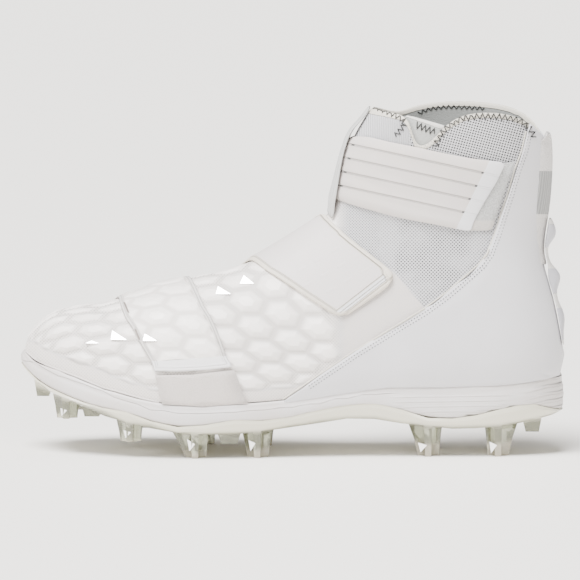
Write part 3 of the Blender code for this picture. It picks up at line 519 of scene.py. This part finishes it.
mark(midsole, "drop", -above_bite(middle))
STEP_DROP = (0.0036, 0.0042)
STEP_END = (385, 405)
WAIST_RIDGES = ((385, 410), (500, 520))
HEEL_RIDGES = (518, 545)
foam, shader, at = finish_of("foam", 0.45, Coat_Weight=0.1, Coat_Roughness=0.35)
across, down = at.picture()
drop = at.attribute("drop")
step = drop.ramp(*STEP_DROP) * (1 - across.ramp(*STEP_END))
waist = across.ramp(*WAIST_RIDGES[0]) * (1 - across.ramp(*WAIST_RIDGES[1])) * drop.ramp(0.004, 0.006)
ridges = (down * 1.25 + across * 0.02).math("SINE").ramp(0.2, 1.0) * waist
heel = across.ramp(*HEEL_RIDGES) * drop.ramp(0.001, 0.002)
heel_ridges = (drop * 1500 + across * 0.02).math("SINE").ramp(-0.2, 1.0) * heel
tone = at.noise(25).ramp(0.35, 0.65).tint((0.61, 0.57, 0.55), (0.635, 0.61, 0.605))
relief = step * -0.6 + ridges * 0.35 + heel_ridges * 0.9 + at.noise(900) * 0.04
midsole.data.materials.append(wear(foam, shader, tone, relief, 0.001))


# The plate and its studs are one clear moulding, cemented under the midsole. It looks milky along
# its side and like grey-green glass in the studs, whose facets catch the light.
CREASE_ANGLE = 28
UNDERSIDE_STEPS = 34
UNDERSIDE_INSET = 0.006
UNDERSIDE_REACH = 0.014
OUTER_SHARE = 0.6
UPPER_QUARTER = 75
STUD_LENGTH = 0.013
LEVEL = 0.3
plate = sewn("outsole_plate", "stud_plate", 0)
bpy.ops.object.shade_smooth_by_angle(angle=math.radians(CREASE_ANGLE))
low = places(plate)
topside = np.array([v.normal.z > LEVEL for v in plate.data.vertices])
low[:, 2] += np.where(topside, JOINT_CLOSED, 0)
moved(plate, low)
plate_normals = np.array([tuple(v.normal) for v in plate.data.vertices])
under_x = np.linspace(low[:, 0].min() + UNDERSIDE_INSET, low[:, 0].max() - UNDERSIDE_INSET, UNDERSIDE_STEPS)
under_z = []
for u in under_x:
    near = np.abs(low[:, 0] - u) < UNDERSIDE_REACH
    outer = near & (np.abs(low[:, 1]) > OUTER_SHARE * np.abs(low[near, 1]).max())
    under_z.append(np.percentile(low[outer & (plate_normals[:, 2] < -LEVEL), 2], UPPER_QUARTER))
mark(plate, "stud_share", (np.interp(low[:, 0], under_x, under_z) - low[:, 2]) / STUD_LENGTH)
clear, shader, at = finish_of("clear_plastic", 0.08, Transmission_Weight=1.0, IOR=1.46)
share = at.attribute("stud_share")
glass = share.ramp(-0.1, 0.3).tint((0.80, 0.80, 0.68), (0.50, 0.52, 0.39))
wear(clear, shader, glass, at.noise(260) * 0.15, 0.0008)
milk = share.ramp(-0.15, 0.20).tint((0.66, 0.63, 0.51), (0.33, 0.33, 0.24))
milk = share.ramp(0.70, 1.0).tint(milk, (0.86, 0.78, 0.64))
milky = at.make("ShaderNodeBsdfPrincipled", {}, {"Base Color": milk, "Roughness": 0.22, "Coat Weight": 0.7})
see_through = share.ramp(-0.05, 0.25) * 0.65
glassy = Socket(at.tree, shader.outputs["BSDF"])
both = at.make("ShaderNodeMixShader", {}, {0: see_through, 1: milky, 2: glassy})
at.tree.links.new(both.link, at.tree.nodes["Material Output"].inputs["Surface"])
plate.data.materials.append(clear)


# The sock liner lies in the midsole's bed, where it only shows through the collar. It is cut foam
# under a brushed grey cloth.
insole = sewn("insole", "sock_liner", 1)
liner, shader, at = finish_of("liner", 0.85, Sheen_Weight=0.2)
brushed = at.noise(700).tint((0.34, 0.34, 0.34), (0.46, 0.46, 0.46))
insole.data.materials.append(wear(liner, shader, brushed, at.noise(1500) * 0.3, 0.001))


# The heel panel is a smooth coated cloth over the knit, from the waist to the collar. Its cut edge
# is cream, and two rows of stitches hold it down.
SEAM = (
    *((277.3, 402.9), (306, 383.8), (352.6, 352.5), (394, 327), (424.6, 308.5), (446.3, 292.6)),
    *((462.3, 278.8), (479.7, 263.5), (487.3, 253.3), (494.5, 234), (501, 213.5), (507.8, 193)),
    *((514.4, 169.6), (518, 160.4), (521.5, 151), (525.9, 130.7)),
)
LINE_STEP = 2.0
EDGE_RADIUS = 0.00055
EDGE_LIFT = 0.0001
STITCH_ROWS = (3.4, 6.4)
STITCH_PITCH = 3.2
STITCH_SIZE = (0.00058, 0.00034, 0.00034)
STITCH_CORNERS = ((1, 0, 0), (-1, 0, 0), (0, 1, 0), (0, -1, 0), (0, 0, 1), (0, 0, -1))
STITCH_FACES = ((0, 2, 4), (2, 1, 4), (1, 3, 4), (3, 0, 4), (2, 0, 5), (1, 2, 5), (3, 1, 5), (0, 3, 5))


def evenly(path, pitch):
    """Points a pitch apart along a path of picture places, with the way the path runs at each."""
    path = np.array(path, float)
    lengths = np.concatenate([[0], np.cumsum(np.hypot(*np.diff(path, axis=0).T))])
    at = np.arange(pitch / 2, lengths[-1], pitch)
    spots = np.column_stack([np.interp(at, lengths, path[:, i]) for i in (0, 1)])
    ahead = np.column_stack([np.interp(at + 2, lengths, path[:, i]) for i in (0, 1)])
    behind = np.column_stack([np.interp(at - 2, lengths, path[:, i]) for i in (0, 1)])
    ways = ahead - behind
    return spots, ways / np.linalg.norm(ways, axis=1, keepdims=True)


def pinned(shell, px, py, lift, side=-1):
    """Where a pixel's line of sight meets a shell, stood off it by lift; side 1 is the inner side."""
    over = rightwards * ((px - IMAGE / 2) * FIELD / IMAGE) - upwards * ((py - IMAGE / 2) * FIELD / IMAGE)
    way = (AIM + over - eye).normalized()
    mirror = Vector((1, -side, 1))
    start = Vector(a * b for a, b in zip(eye, mirror))
    way = Vector(a * b for a, b in zip(way, mirror))
    place, normal, _, _ = shell.ray_cast(start, way)
    if place is None:
        return None
    if normal.dot(way) > 0:
        normal = -normal
    return place + normal * lift, normal


def runs(shell, path, lift, side=-1):
    """The points of a path that meet the shell."""
    found = [pinned(shell, px, py, lift, side) for px, py in path]
    return [place for place, normal in (hit for hit in found if hit)]


def loose(name, corners, faces, look):
    """A new piece of small closed forms that ride on the shoe."""
    mesh = bpy.data.meshes.new(name)
    mesh.from_pydata(corners, [], faces)
    made = bpy.data.objects.new(name, mesh)
    bpy.context.scene.collection.objects.link(made)
    bpy.ops.object.select_all(action="DESELECT")
    bpy.context.view_layer.objects.active = made
    made.select_set(True)
    bpy.ops.object.mode_set(mode="EDIT")
    bpy.ops.mesh.select_all(action="SELECT")
    bpy.ops.mesh.normals_make_consistent(inside=False)
    bpy.ops.object.mode_set(mode="OBJECT")
    mesh.materials.append(look)
    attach(made, "root")
    return made


def stitches(name, shell, rows, pitch, size, look):
    """Rows of short raised stitches, one small closed form each, on both sides of the shoe."""
    corners, faces = [], []
    for side in (-1, 1):
        for path in rows:
            spots, ways = evenly(path, pitch)
            for (px, py), (dx, dy) in zip(spots, ways):
                here = pinned(shell, px, py, 0, side)
                there = pinned(shell, px + dx, py + dy, 0, side)
                if here is None or there is None:
                    continue
                middle, normal = here
                along = (there[0] - middle).normalized()
                over = normal.cross(along).normalized()
                start = len(corners)
                for corner in STITCH_CORNERS:
                    a, b, c = (part * reach for part, reach in zip(corner, size))
                    corners.append(middle + along * a + over * b + normal * c)
                faces += [tuple(start + i for i in face) for face in STITCH_FACES]
    return loose(name, corners, faces, look)


def shifted(path, sideways):
    """A path moved sideways in the picture, to the right of the way it runs."""
    path = np.array(path, float)
    ways = np.gradient(path, axis=0)
    ways /= np.linalg.norm(ways, axis=1, keepdims=True)
    return path + np.column_stack([-ways[:, 1], ways[:, 0]]) * sideways


PANEL_FOOT = (0.002, 0.007)
PANEL_FOOT_DOWN = 0.0018
PANEL_FOOT_IN = 0.0006
quarter = sewn("heel_quarter", "heel_panel", 1, 0.8)
panel = places(quarter)
foot = 1 - eased(above_bite(panel), *PANEL_FOOT)
panel[:, 2] -= PANEL_FOOT_DOWN * foot
panel[:, 1] -= np.sign(panel[:, 1]) * PANEL_FOOT_IN * foot
moved(quarter, panel)
coated, shader, at = finish_of("quarter_film", 0.42, Sheen_Weight=0.1)
sheen = at.noise(30).ramp(0.3, 0.7).tint((0.60, 0.588, 0.61), (0.63, 0.618, 0.64))
quarter.data.materials.append(wear(coated, shader, sheen, at.noise(2200, 3.0) * 0.05, 0.001))


# At the back the panel's foot is made here: a low triangle of the same cloth, over the midsole.
HEEL_TAB = (0.0205, 0.0125, 0.0011)
HEEL_TAB_STEPS = (13, 7)
HEEL_TAB_FOOT = 0.0468
HEEL_TAB_EDGE = 0.0012
HEEL_TAB_SUNK = 0.0009
BEHIND_HEEL = 0.3


def from_behind(shell, side, height):
    """Where a level line from behind meets a shell, and the way the shell faces there."""
    return shell.ray_cast(Vector((BEHIND_HEEL, side, height)), Vector((-1, 0, 0)))[:2]


skin = shell_of(upper)
rows = []
for across_share in np.linspace(-1, 1, HEEL_TAB_STEPS[0]):
    for up_share in np.linspace(0, 1, HEEL_TAB_STEPS[1]):
        side = across_share * HEEL_TAB[0]
        reach = HEEL_TAB_FOOT + up_share * (HEEL_TAB_EDGE + HEEL_TAB[1] * (1 - abs(across_share)))
        place, normal = from_behind(skin, side, reach)
        sunk = HEEL_TAB_SUNK if up_share == 0 else 0
        rows.append(place + normal * HEEL_TAB[2] - Vector((0, 0, sunk)))
mesh = bpy.data.meshes.new("heel_foot")
wide, tall = HEEL_TAB_STEPS
mesh.from_pydata(rows, [], [
    (i * tall + j, (i + 1) * tall + j, (i + 1) * tall + j + 1, i * tall + j + 1)
    for i in range(wide - 1) for j in range(tall - 1)
])
heel_foot = bpy.data.objects.new("heel_foot", mesh)
bpy.context.scene.collection.objects.link(heel_foot)
bpy.ops.object.select_all(action="DESELECT")
bpy.context.view_layer.objects.active = heel_foot
heel_foot.select_set(True)
backing = heel_foot.modifiers.new("backing", "SOLIDIFY")
backing.thickness = HEEL_TAB[2]
backing.offset = -1
bpy.ops.object.modifier_apply(modifier="backing")
bpy.ops.object.shade_smooth()
mark_picture(heel_foot)
mesh.materials.append(coated)
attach(heel_foot, "root")


# The seam's cream edge and its stitches run down both sides of the panel.
sides = shell_of(upper, quarter)
cream_edge, shader, at = finish_of("cream_edge", 0.7)
wear(cream_edge, shader, at.noise(600).tint((0.56, 0.52, 0.45), (0.70, 0.67, 0.60)), at.noise(1500), 0.0003)
seam_line, _ = evenly(SEAM, LINE_STEP)
edges = [runs(sides, seam_line, EDGE_LIFT, side) for side in (-1, 1)]
tube("seam_edge", edges, EDGE_RADIUS, cream_edge)
thread, shader, at = finish_of("grey_thread", 0.7)
wear(thread, shader, at.noise(900).tint((0.05, 0.05, 0.055), (0.10, 0.10, 0.11)))
rows = [shifted(SEAM, sideways)[1:] for sideways in STITCH_ROWS]
stitches("seam_stitches", sides, rows, STITCH_PITCH, STITCH_SIZE, thread)


# A thin bead of white cement fills the joint between the knit and the midsole, from the toe back to
# the ball of the foot, on both sides.
TOE_JOINT = (
    *((25.2, 350.5), (32.8, 357.2), (41, 363.0), (53.2, 367.5), (64.6, 371.9), (77.4, 376.7)),
    *((90.2, 382.1), (102.9, 387.4), (120, 392.0), (141.4, 398.2), (160, 402.4)),
)
BEAD_RADIUS = 0.0006
cement, shader, at = finish_of("cement", 0.5)
wear(cement, shader, at.noise(400).tint((0.62, 0.575, 0.555), (0.68, 0.64, 0.62)))
toe_shell = shell_of(upper)
joint_line, _ = evenly(TOE_JOINT, LINE_STEP)
beads = [runs(toe_shell, joint_line, 0, side) for side in (-1, 1)]
tube("cement_bead", beads, BEAD_RADIUS, cement)


# The forefoot strap is cut from the same podded cloth as the toe and wraps over the ball of the foot.
# A piped hem runs along its edges and it ends in a bright welded bar.
STRAP_FRONT = ((150.5, 372.3), (121.4, 300.5))
STRAP_REAR = ((187.7, 279.5), (231.4, 363.2))
BAR_EDGE = ((151.4, 361.4), (226, 356.0))
STRAP_CREAM = (0.64, 0.605, 0.58)
SLIT_BROWN = (0.22, 0.18, 0.16)
BAR_WHITE = (0.84, 0.825, 0.835)
toe_strap = sewn("forefoot_strap", "toe_strap", 2, 0.7)
mark_girth(toe_strap)
podded, shader, at = finish_of("podded_strap", 0.5, Sheen_Weight=0.1)
across, down = at.picture()
front = beside(across, down, *STRAP_FRONT)
rear = beside(across, down, *STRAP_REAR)
outer_side = 1 - at.axes()[1].ramp(*MIDDLE_OF_SHOE)
bar = beside(across, down, *BAR_EDGE).ramp(-0.4, 0.4) * outer_side
hem = at.attribute("hem")
field = hem.ramp(0.0022, 0.0030) * (1 - bar)
pod = pods(at, at.attribute("girth")) * field
piping = hem.band(0.0009, 0.0006, 0.0006) + hem.band(0.0023, 0.0005, 0.0005)
front_slits = front.band(2.0, 0.8, 0.8) * (down * 0.23).math("SINE").ramp(0.1, 0.5)
rear_slits = rear.band(2.2, 0.5, 0.6) * (down * 0.5).math("SINE").ramp(0.2, 0.6) * 0.3
slits = front_slits.most(rear_slits) * outer_side
# Painted shade: as on the toe, the strap is tinted darker between its pods, for the shade that falls there.
cloth = (pod * 2.6).least(1.0).tint(POD_SEAM_SHADE, POD_WHITE)
cloth = (1 - hem.ramp(0.0022, 0.0028)).tint(cloth, STRAP_CREAM)
cloth = (hem.band(0.0016, 0.0002, 0.0002) * rear.band(3, 4, 1)).tint(cloth, (0.50, 0.47, 0.45))
cloth = slits.tint(cloth, SLIT_BROWN)
cloth = bar.tint(cloth, BAR_WHITE)
gloss = 0.6 - pod * 0.28 - bar * 0.25
relief = pod * 0.7 + piping * 0.35 - slits * 0.4 + bar * 0.3
relief = relief + at.noise(1500, 3.0) * 0.08 * (1 - bar)
toe_strap.data.materials.append(wear(podded, shader, cloth, relief, 0.0014, gloss))


# The strap's root is a plain panel of brushed cloth below its end bar. It is sewn to the knit and
# its foot is held in the joint of the midsole.
fuzzy, shader, at = finish_of("brushed_root", 0.9, Sheen_Weight=0.4)
nap = at.noise(1200, 3.0).tint((0.54, 0.485, 0.455), (0.68, 0.62, 0.585))
wear(fuzzy, shader, nap, at.noise(1800, 3.0) * 0.5, 0.001)
strap_root = sewn("strap_base", "strap_root", 1, 1.0)
strap_root.data.materials.append(fuzzy)


# Painted highlights: small flat three-sided chips of bright, metal-like white stand in for the glints
# that flash on a few of the pods, tilted to throw the light, and for the glints low on the studs' fins.
POD_GLINT_CHIPS = (
    ((111, 340), (112.5, 331), (127, 340)),
    ((143, 341), (145, 334), (157, 341)),
    ((216, 294.5), (218, 287), (231, 294.5)),
    ((240, 284), (244, 276), (254, 284)),
    ((86, 343.5), (92, 341), (99, 343.5)),
)
STUD_GLINT_CHIPS = (
    ((418.5, 442.5), (427, 445), (421, 452)),
    ((489.8, 441.5), (497, 445), (491.5, 453)),
    ((249, 440), (255.5, 443), (251, 451)),
    ((187.5, 439), (195, 444), (190, 451)),
    ((124, 430), (131, 432), (126, 438)),
    ((61, 408), (67, 410), (62, 416)),
)
FACET_THICK = 0.0005
FLATNESS = 0.5
GLINT = Vector((-0.087, -0.80, 0.60))


def facets(name, shell, outlines, tilt, look):
    """Flat three-sided chips on a shell. A tilt of 0 lies flat, and 1 is turned most towards GLINT."""
    corners, faces = [], []
    for outline in outlines:
        hits = [pinned(shell, px, py, FACET_THICK) for px, py in outline]
        if None in hits:
            continue
        middle = sum((place for place, _ in hits), Vector()) / 3
        facing = GLINT * tilt + sum((normal for _, normal in hits), Vector()).normalized() * FLATNESS
        ways = [(place - eye).normalized() for place, _ in hits]
        sunk = [facing.dot(middle - place) / facing.dot(way) for (place, _), way in zip(hits, ways)]
        start = len(corners)
        corners += [place + way * (far - max(sunk)) for (place, _), way, far in zip(hits, ways, sunk)]
        corners += [place - normal * FACET_THICK * 2 for place, normal in hits]
        for face in ((0, 1, 2), (5, 4, 3), (0, 3, 4, 1), (1, 4, 5, 2), (2, 5, 3, 0)):
            faces.append(tuple(start + i for i in face))
    return loose(name, corners, faces, look)


bright, shader, at = finish_of("glint_chip", 0.15, Metallic=0.8)
wear(bright, shader, at.noise(200).tint((0.90, 0.90, 0.90), (0.95, 0.95, 0.95)))
facets("pod_glint_chips", shell_of(upper, toe_strap), POD_GLINT_CHIPS, 1.0, bright)
facets("stud_glint_chips", shell_of(plate), STUD_GLINT_CHIPS, 0.0, bright)


# The instep strap is a broad tongue of smooth cloth with rounded piping round its edge and a
# welded band across its free end.
PIXELS_A_METRE = 1773
INSTEP_END = ((395.7, 280.3), (349.8, 316))
PAST_END = 40
INSTEP_BORDER = (0.71, 0.65, 0.56)
INSTEP_FIELD = (0.66, 0.615, 0.60)
LINE_GREY_AND_FOLD_SHADE = (0.46, 0.44, 0.42)
WELD_WHITE = (0.70, 0.70, 0.715)
instep_strap = sewn("midfoot_strap", "instep_strap", 2)
smooth_cloth, shader, at = finish_of("instep_cloth", 0.5, Sheen_Weight=0.1)
across, down = at.picture()
edge = at.attribute("hem") * PIXELS_A_METRE
outer_side = 1 - at.axes()[1].ramp(*MIDDLE_OF_SHOE)
end = beside(across, down, *INSTEP_END) * outer_side + (1 - outer_side) * PAST_END
piping = edge.band(2.4, 2.3, 2.4) * end.ramp(3, 6)
fold = edge.band(5.3, 0.5, 1.0) * end.ramp(11, 13)
lines = end.band(12.0, 0.5, 1.0) * edge.ramp(4, 6) + end.band(6.0, 0.3, 0.7) * edge.ramp(3, 4)
lines = lines + end.band(8.5, 0.3, 0.7) * edge.ramp(3, 4)
rim = edge.band(1.0, 1.2, 1.6)
field = edge.ramp(5.5, 7) * end.ramp(12, 14)
emboss = (across * 0.19 + down * 0.33).math("SINE").ramp(0.75, 1.0)
emboss = emboss * (across * 0.30 - down * 0.12).math("SINE").ramp(-0.2, 0.4) * field
weld = end.ramp(-1, 0) * (1 - end.ramp(11, 12)) * edge.ramp(4, 5) * (1 - lines.least(1.0))
cloth = field.tint(INSTEP_BORDER, INSTEP_FIELD)
# Painted shade: grey darkens the fold inside the piping; the fine lines across the end take the same grey.
cloth = (fold * 0.3 + lines * 0.6).least(1.0).tint(cloth, LINE_GREY_AND_FOLD_SHADE)
cloth = weld.tint(cloth, WELD_WHITE)
relief = piping * 0.9 + rim * 0.3 - fold * 0.4 - lines * 0.5
relief = relief + emboss * 0.05 + at.noise(1800, 3.0) * 0.06
instep_strap.data.materials.append(wear(smooth_cloth, shader, cloth, relief, 0.0014))


# The ankle strap is a wide ribbed elastic with five flat ribs. It runs under the keeper in front and
# ends in a smooth welded tip on a patch of loop pile.
FIRST_RIB = (400, 140.5)
RIB_PITCH = 14.5
GROOVE_WIDTH = (0.035, 0.085)
TIP_EDGE = ((456, 229), (490, 160))
KEEPER_EDGE = ((336, 200), (356, 131))
GROOVE_BROWN = (0.32, 0.30, 0.28)
TIP_WHITE = (0.73, 0.725, 0.75)
NOTCH_SHADOW = (0.05, 0.05, 0.05)
PATCH_FOOT = (219, 222)
ankle_strap = sewn("ankle_strap", "ankle_wrap", 2)
ribbed, shader, at = finish_of("ribbed_elastic", 0.6, Sheen_Weight=0.15)
across, down = at.picture()
rib = (down - FIRST_RIB[1] - (across - FIRST_RIB[0]) * STRAP_SLOPE) * (1 / RIB_PITCH)
groove = abs((rib + 0.5).math("FRACT") - 0.5)
groove = (1 - groove.ramp(*GROOVE_WIDTH)) * rib.ramp(0.5, 0.6) * (1 - rib.ramp(4.4, 4.5))
tip = beside(across, down, *TIP_EDGE)
at_tip = tip.ramp(-0.3, 0.3)
keeper_edge = beside(across, down, *KEEPER_EDGE)
# Painted shadow: black notches where each groove meets the keeper's edge and the tip's edge stand in for
# the shadow gaps there.
notch = groove * (tip.band(-1.0, 1.2, 0.6) + keeper_edge.band(1.0, 1.6, 0.6)).least(1.0)
cloth = at.noise(45).ramp(0.3, 0.7).tint((0.62, 0.57, 0.545), (0.65, 0.595, 0.56))
cloth = (groove * 0.6).tint(cloth, GROOVE_BROWN)
cloth = at_tip.tint(cloth, TIP_WHITE)
cloth = notch.tint(cloth, NOTCH_SHADOW)
weave = (across * 3.4).math("SINE") * (down * 3.4).math("SINE")
relief = (1 - at_tip) * (weave * 0.05 - groove) + at_tip * (groove * -0.25 + 0.2)
relief = relief + at.noise(1800, 3.0) * 0.06
ankle_strap.data.materials.append(wear(ribbed, shader, cloth, relief, 0.0012, 0.65 - at_tip * 0.3))


# A grey patch of loop pile is sewn under the strap's tip, with a cream hem along its foot.
pile, shader, at = finish_of("loop_pile", 0.95, Sheen_Weight=0.5)
across, down = at.picture()
tuft = at.noise(1700, 3.0)
nap = tuft.ramp(0.3, 0.7).tint((0.36, 0.36, 0.355), (0.58, 0.58, 0.575))
nap = down.ramp(*PATCH_FOOT).tint(nap, (0.62, 0.58, 0.54))
patch = sewn("strap_patch", "loop_patch", 1, 0.8)
patch.data.materials.append(wear(pile, shader, nap, tuft, 0.0008))


# The keeper is a broad ribbed tape down the front of the shaft, sewn at both ends, that the ankle
# strap slides under.
tape, shader, at = finish_of("keeper_tape", 0.7, Sheen_Weight=0.2)
cords = (at.axes()[1] * 2600).math("SINE") * 0.5 + 0.5
cloth = (cords * 0.5 + at.noise(300) * 0.5).tint((0.40, 0.40, 0.39), (0.58, 0.57, 0.56))
wear(tape, shader, cloth, cords * 0.35, 0.0008)
keeper = sewn("keeper_band", "keeper", 1)
keeper.data.materials.append(tape)


# A bound and overlocked edge runs round the collar: cream binding, and a black zigzag below it that
# goes down both sides of the notch. The stitch is one round thread, laid on the cloth.
NEAR_RIM = (
    *((427.7, 146), (431, 136.3), (436.8, 127.9), (443.8, 120.2), (452.2, 113.9), (463.5, 110.3)),
    *((480.3, 108.9), (501.4, 109.6), (518.2, 111.7), (528, 116.7), (536.4, 125), (542, 136.3)),
)
BELOW_RIM = 7.4
FLAP_ZIGZAG = (
    *((371, 104.5), (378, 108), (387, 111.5), (396, 115.5)),
    *((403, 119.5), (405, 124), (400, 131), (393.5, 138)),
)
FAR_ZIGZAG = ((417.3, 114), (424, 110.5), (431.6, 108.3), (447.6, 106.7), (463.5, 107.2), (485.9, 108.3))
THREAD_RADIUS = 0.00033
black_thread, shader, at = finish_of("black_thread", 0.6)
wear(black_thread, shader, at.noise(900).tint((0.012, 0.012, 0.012), (0.03, 0.03, 0.03)))


def zigzag(shell, path, pitch, reach, side=-1, wall=None):
    """Points of a zigzag stitch either side of a path in the picture, on one wall of the collar."""
    spots, ways = evenly(path, pitch / 2)
    swing = np.where(np.arange(len(spots)) % 2, reach, -reach)[:, None]
    corners = spots + np.column_stack([-ways[:, 1], ways[:, 0]]) * swing
    fine = np.concatenate([np.linspace(a, b, 4, endpoint=False) for a, b in zip(corners, corners[1:])])
    wall = side if wall is None else wall
    return [place for place in runs(shell, fine, THREAD_RADIUS * 0.6, side) if place.y * wall > 0]


# The gusset is a band of flat grey elastic behind the notch on the strap side, sewn in on both sides.
# Its upper edge is bound in cream and has a zigzag of its own.
GUSSET_ZIGZAG = ((415, 124.5), (436, 132.5))
GUSSET_HEM = ((410, 113), (441, 123.7))
GUSSET_BINDING = (4.5, 5.2)
BINDING_WHITE = (0.66, 0.64, 0.60)
GUSSET_GREY = (0.40, 0.405, 0.39)
gusset_cloth, shader, at = finish_of("gusset_elastic", 0.8)
across, down = at.picture()
bound = 1 - beside(across, down, *GUSSET_HEM).ramp(*GUSSET_BINDING)
cloth = bound.tint(GUSSET_GREY, BINDING_WHITE)
wear(gusset_cloth, shader, cloth, bound * 0.4 + at.noise(1200) * 0.2, 0.001)
gusset = sewn("collar_gusset", "gusset", 1)
gusset.data.materials.append(gusset_cloth)


# The zigzags are laid on last, when all that they cross is in place.
collar_shell = shell_of(upper, quarter, gusset)
near = shifted(NEAR_RIM, BELOW_RIM)
rows = [zigzag(collar_shell, near, 5.6, 3.2, side) for side in (-1, 1)]
rows += [zigzag(collar_shell, FLAP_ZIGZAG, 5.0, 2.9, side) for side in (-1, 1)]
rows.append(zigzag(collar_shell, FAR_ZIGZAG, 5.2, 1.8, -1, 1))
rows.append(zigzag(collar_shell, GUSSET_ZIGZAG, 4.6, 3.6))
tube("collar_zigzag", [row for row in rows if len(row) > 3], THREAD_RADIUS, black_thread)


# The pull tab is a loop of ribbed elastic at the back of the collar. Its ends are brushed cream tape
# sewn down beside the heel panel.
GREY_MIDDLE = (192.5, 21.5, 0.8)
TAB_EDGE = (0.0004, 0.0009)
TAB_TOP = (128, 134)
EDGE_SHADOW = (0.12, 0.12, 0.13)
tab_cloth, shader, at = finish_of("tab_elastic", 0.75, Sheen_Weight=0.2)
across, down = at.picture()
grey = down.band(*GREY_MIDDLE)
cords = (at.axes()[1] * 4000).math("SINE") * 0.5 + 0.5
cloth = at.noise(900, 3.0).tint((0.60, 0.57, 0.55), (0.70, 0.67, 0.65))
cloth = grey.tint(cloth, cords.tint((0.22, 0.22, 0.22), (0.36, 0.36, 0.355)))
# Painted shadow: near-black along the tab's hems below its top, for the shadow gap between the loop and the
# heel.
edge_shadow = (1 - at.attribute("hem").ramp(*TAB_EDGE)) * down.ramp(*TAB_TOP) * 0.7
cloth = edge_shadow.tint(cloth, EDGE_SHADOW)
relief = grey * cords * 0.4 + (1 - grey) * at.noise(1200, 3.0)
pull_tab = sewn("heel_pull_tab", "pull_tab", 1)
tab = places(pull_tab)
for point in tab:
    behind = [from_behind(collar_shell, side, point[2])[0] for side in (0, point[1])]
    if behind[0] and behind[1]:
        point[0] += min(behind[1].x - behind[0].x, 0)
moved(pull_tab, tab)
pull_tab.data.materials.append(wear(tab_cloth, shader, cloth, relief, 0.0008))


# Three moulded rubber bumps stand one under the other down the back of the heel, on a cream tape
# that is sewn to the heel panel.
BUMPS = ((236, 11.5, 1.5), (281, 12.5, 1.5), (324, 16, 1.5))
spine = sewn("heel_spine", "heel_bumps", 1)
rubber, shader, at = finish_of("spine_rubber", 0.45)
across, down = at.picture()
bumps = (down.band(*BUMPS[0]) + down.band(*BUMPS[1]) + down.band(*BUMPS[2])).least(1.0)
bump_tone = bumps.tint((0.66, 0.64, 0.61), (0.47, 0.465, 0.50))
spine.data.materials.append(wear(rubber, shader, bump_tone, bumps * 0.5 + at.noise(900) * 0.1, 0.001))


# The studio is a pale floor that runs back out of sight, a white surround, one broad soft light
# high up, and two weaker lamps that bring out the relief from the left and from the front.
FLOOR_SIZE = 400.0
FLOOR_WHITE = (0.915, 0.888, 0.85, 1)
SURROUND_WHITE = (1.0, 0.985, 0.93, 1)
SURROUND_STRENGTH = 0.55
SKY_POWER = 10.6
SKY_SPREAD = 34
SKY_TILT = (20, -12)
LAMPS = (
    ("left_light", (-1.4, -1.2, 0.9), 0.5, 20),
    ("front_light", (0.6, -2.2, 1.0), 0.7, 12),
)
LAMPS_AIM = Vector((0, 0, 0.06))
bpy.ops.mesh.primitive_plane_add(size=FLOOR_SIZE, location=(0, 0, 0))
floor = bpy.context.object
floor.name = "floor"
ground, shader, at = finish_of("floor", 0.6)
shader.inputs["Base Color"].default_value = FLOOR_WHITE
floor.data.materials.append(ground)

world = bpy.data.worlds.new("studio")
world.use_nodes = True
world.node_tree.nodes["Background"].inputs["Color"].default_value = SURROUND_WHITE
world.node_tree.nodes["Background"].inputs["Strength"].default_value = SURROUND_STRENGTH
bpy.context.scene.world = world
sun = bpy.data.lights.new("sky_light", "SUN")
sun.energy = SKY_POWER
sun.angle = math.radians(SKY_SPREAD)
sky_light = bpy.data.objects.new("sky_light", sun)
sky_light.rotation_euler = (*map(math.radians, SKY_TILT), 0)
bpy.context.scene.collection.objects.link(sky_light)
for name, place, size, power in LAMPS:
    lamp = bpy.data.lights.new(name, "AREA")
    lamp.size = size
    lamp.energy = power
    lit = bpy.data.objects.new(name, lamp)
    lit.location = place
    lit.rotation_euler = (LAMPS_AIM - Vector(place)).to_track_quat("-Z", "Y").to_euler()
    bpy.context.scene.collection.objects.link(lit)
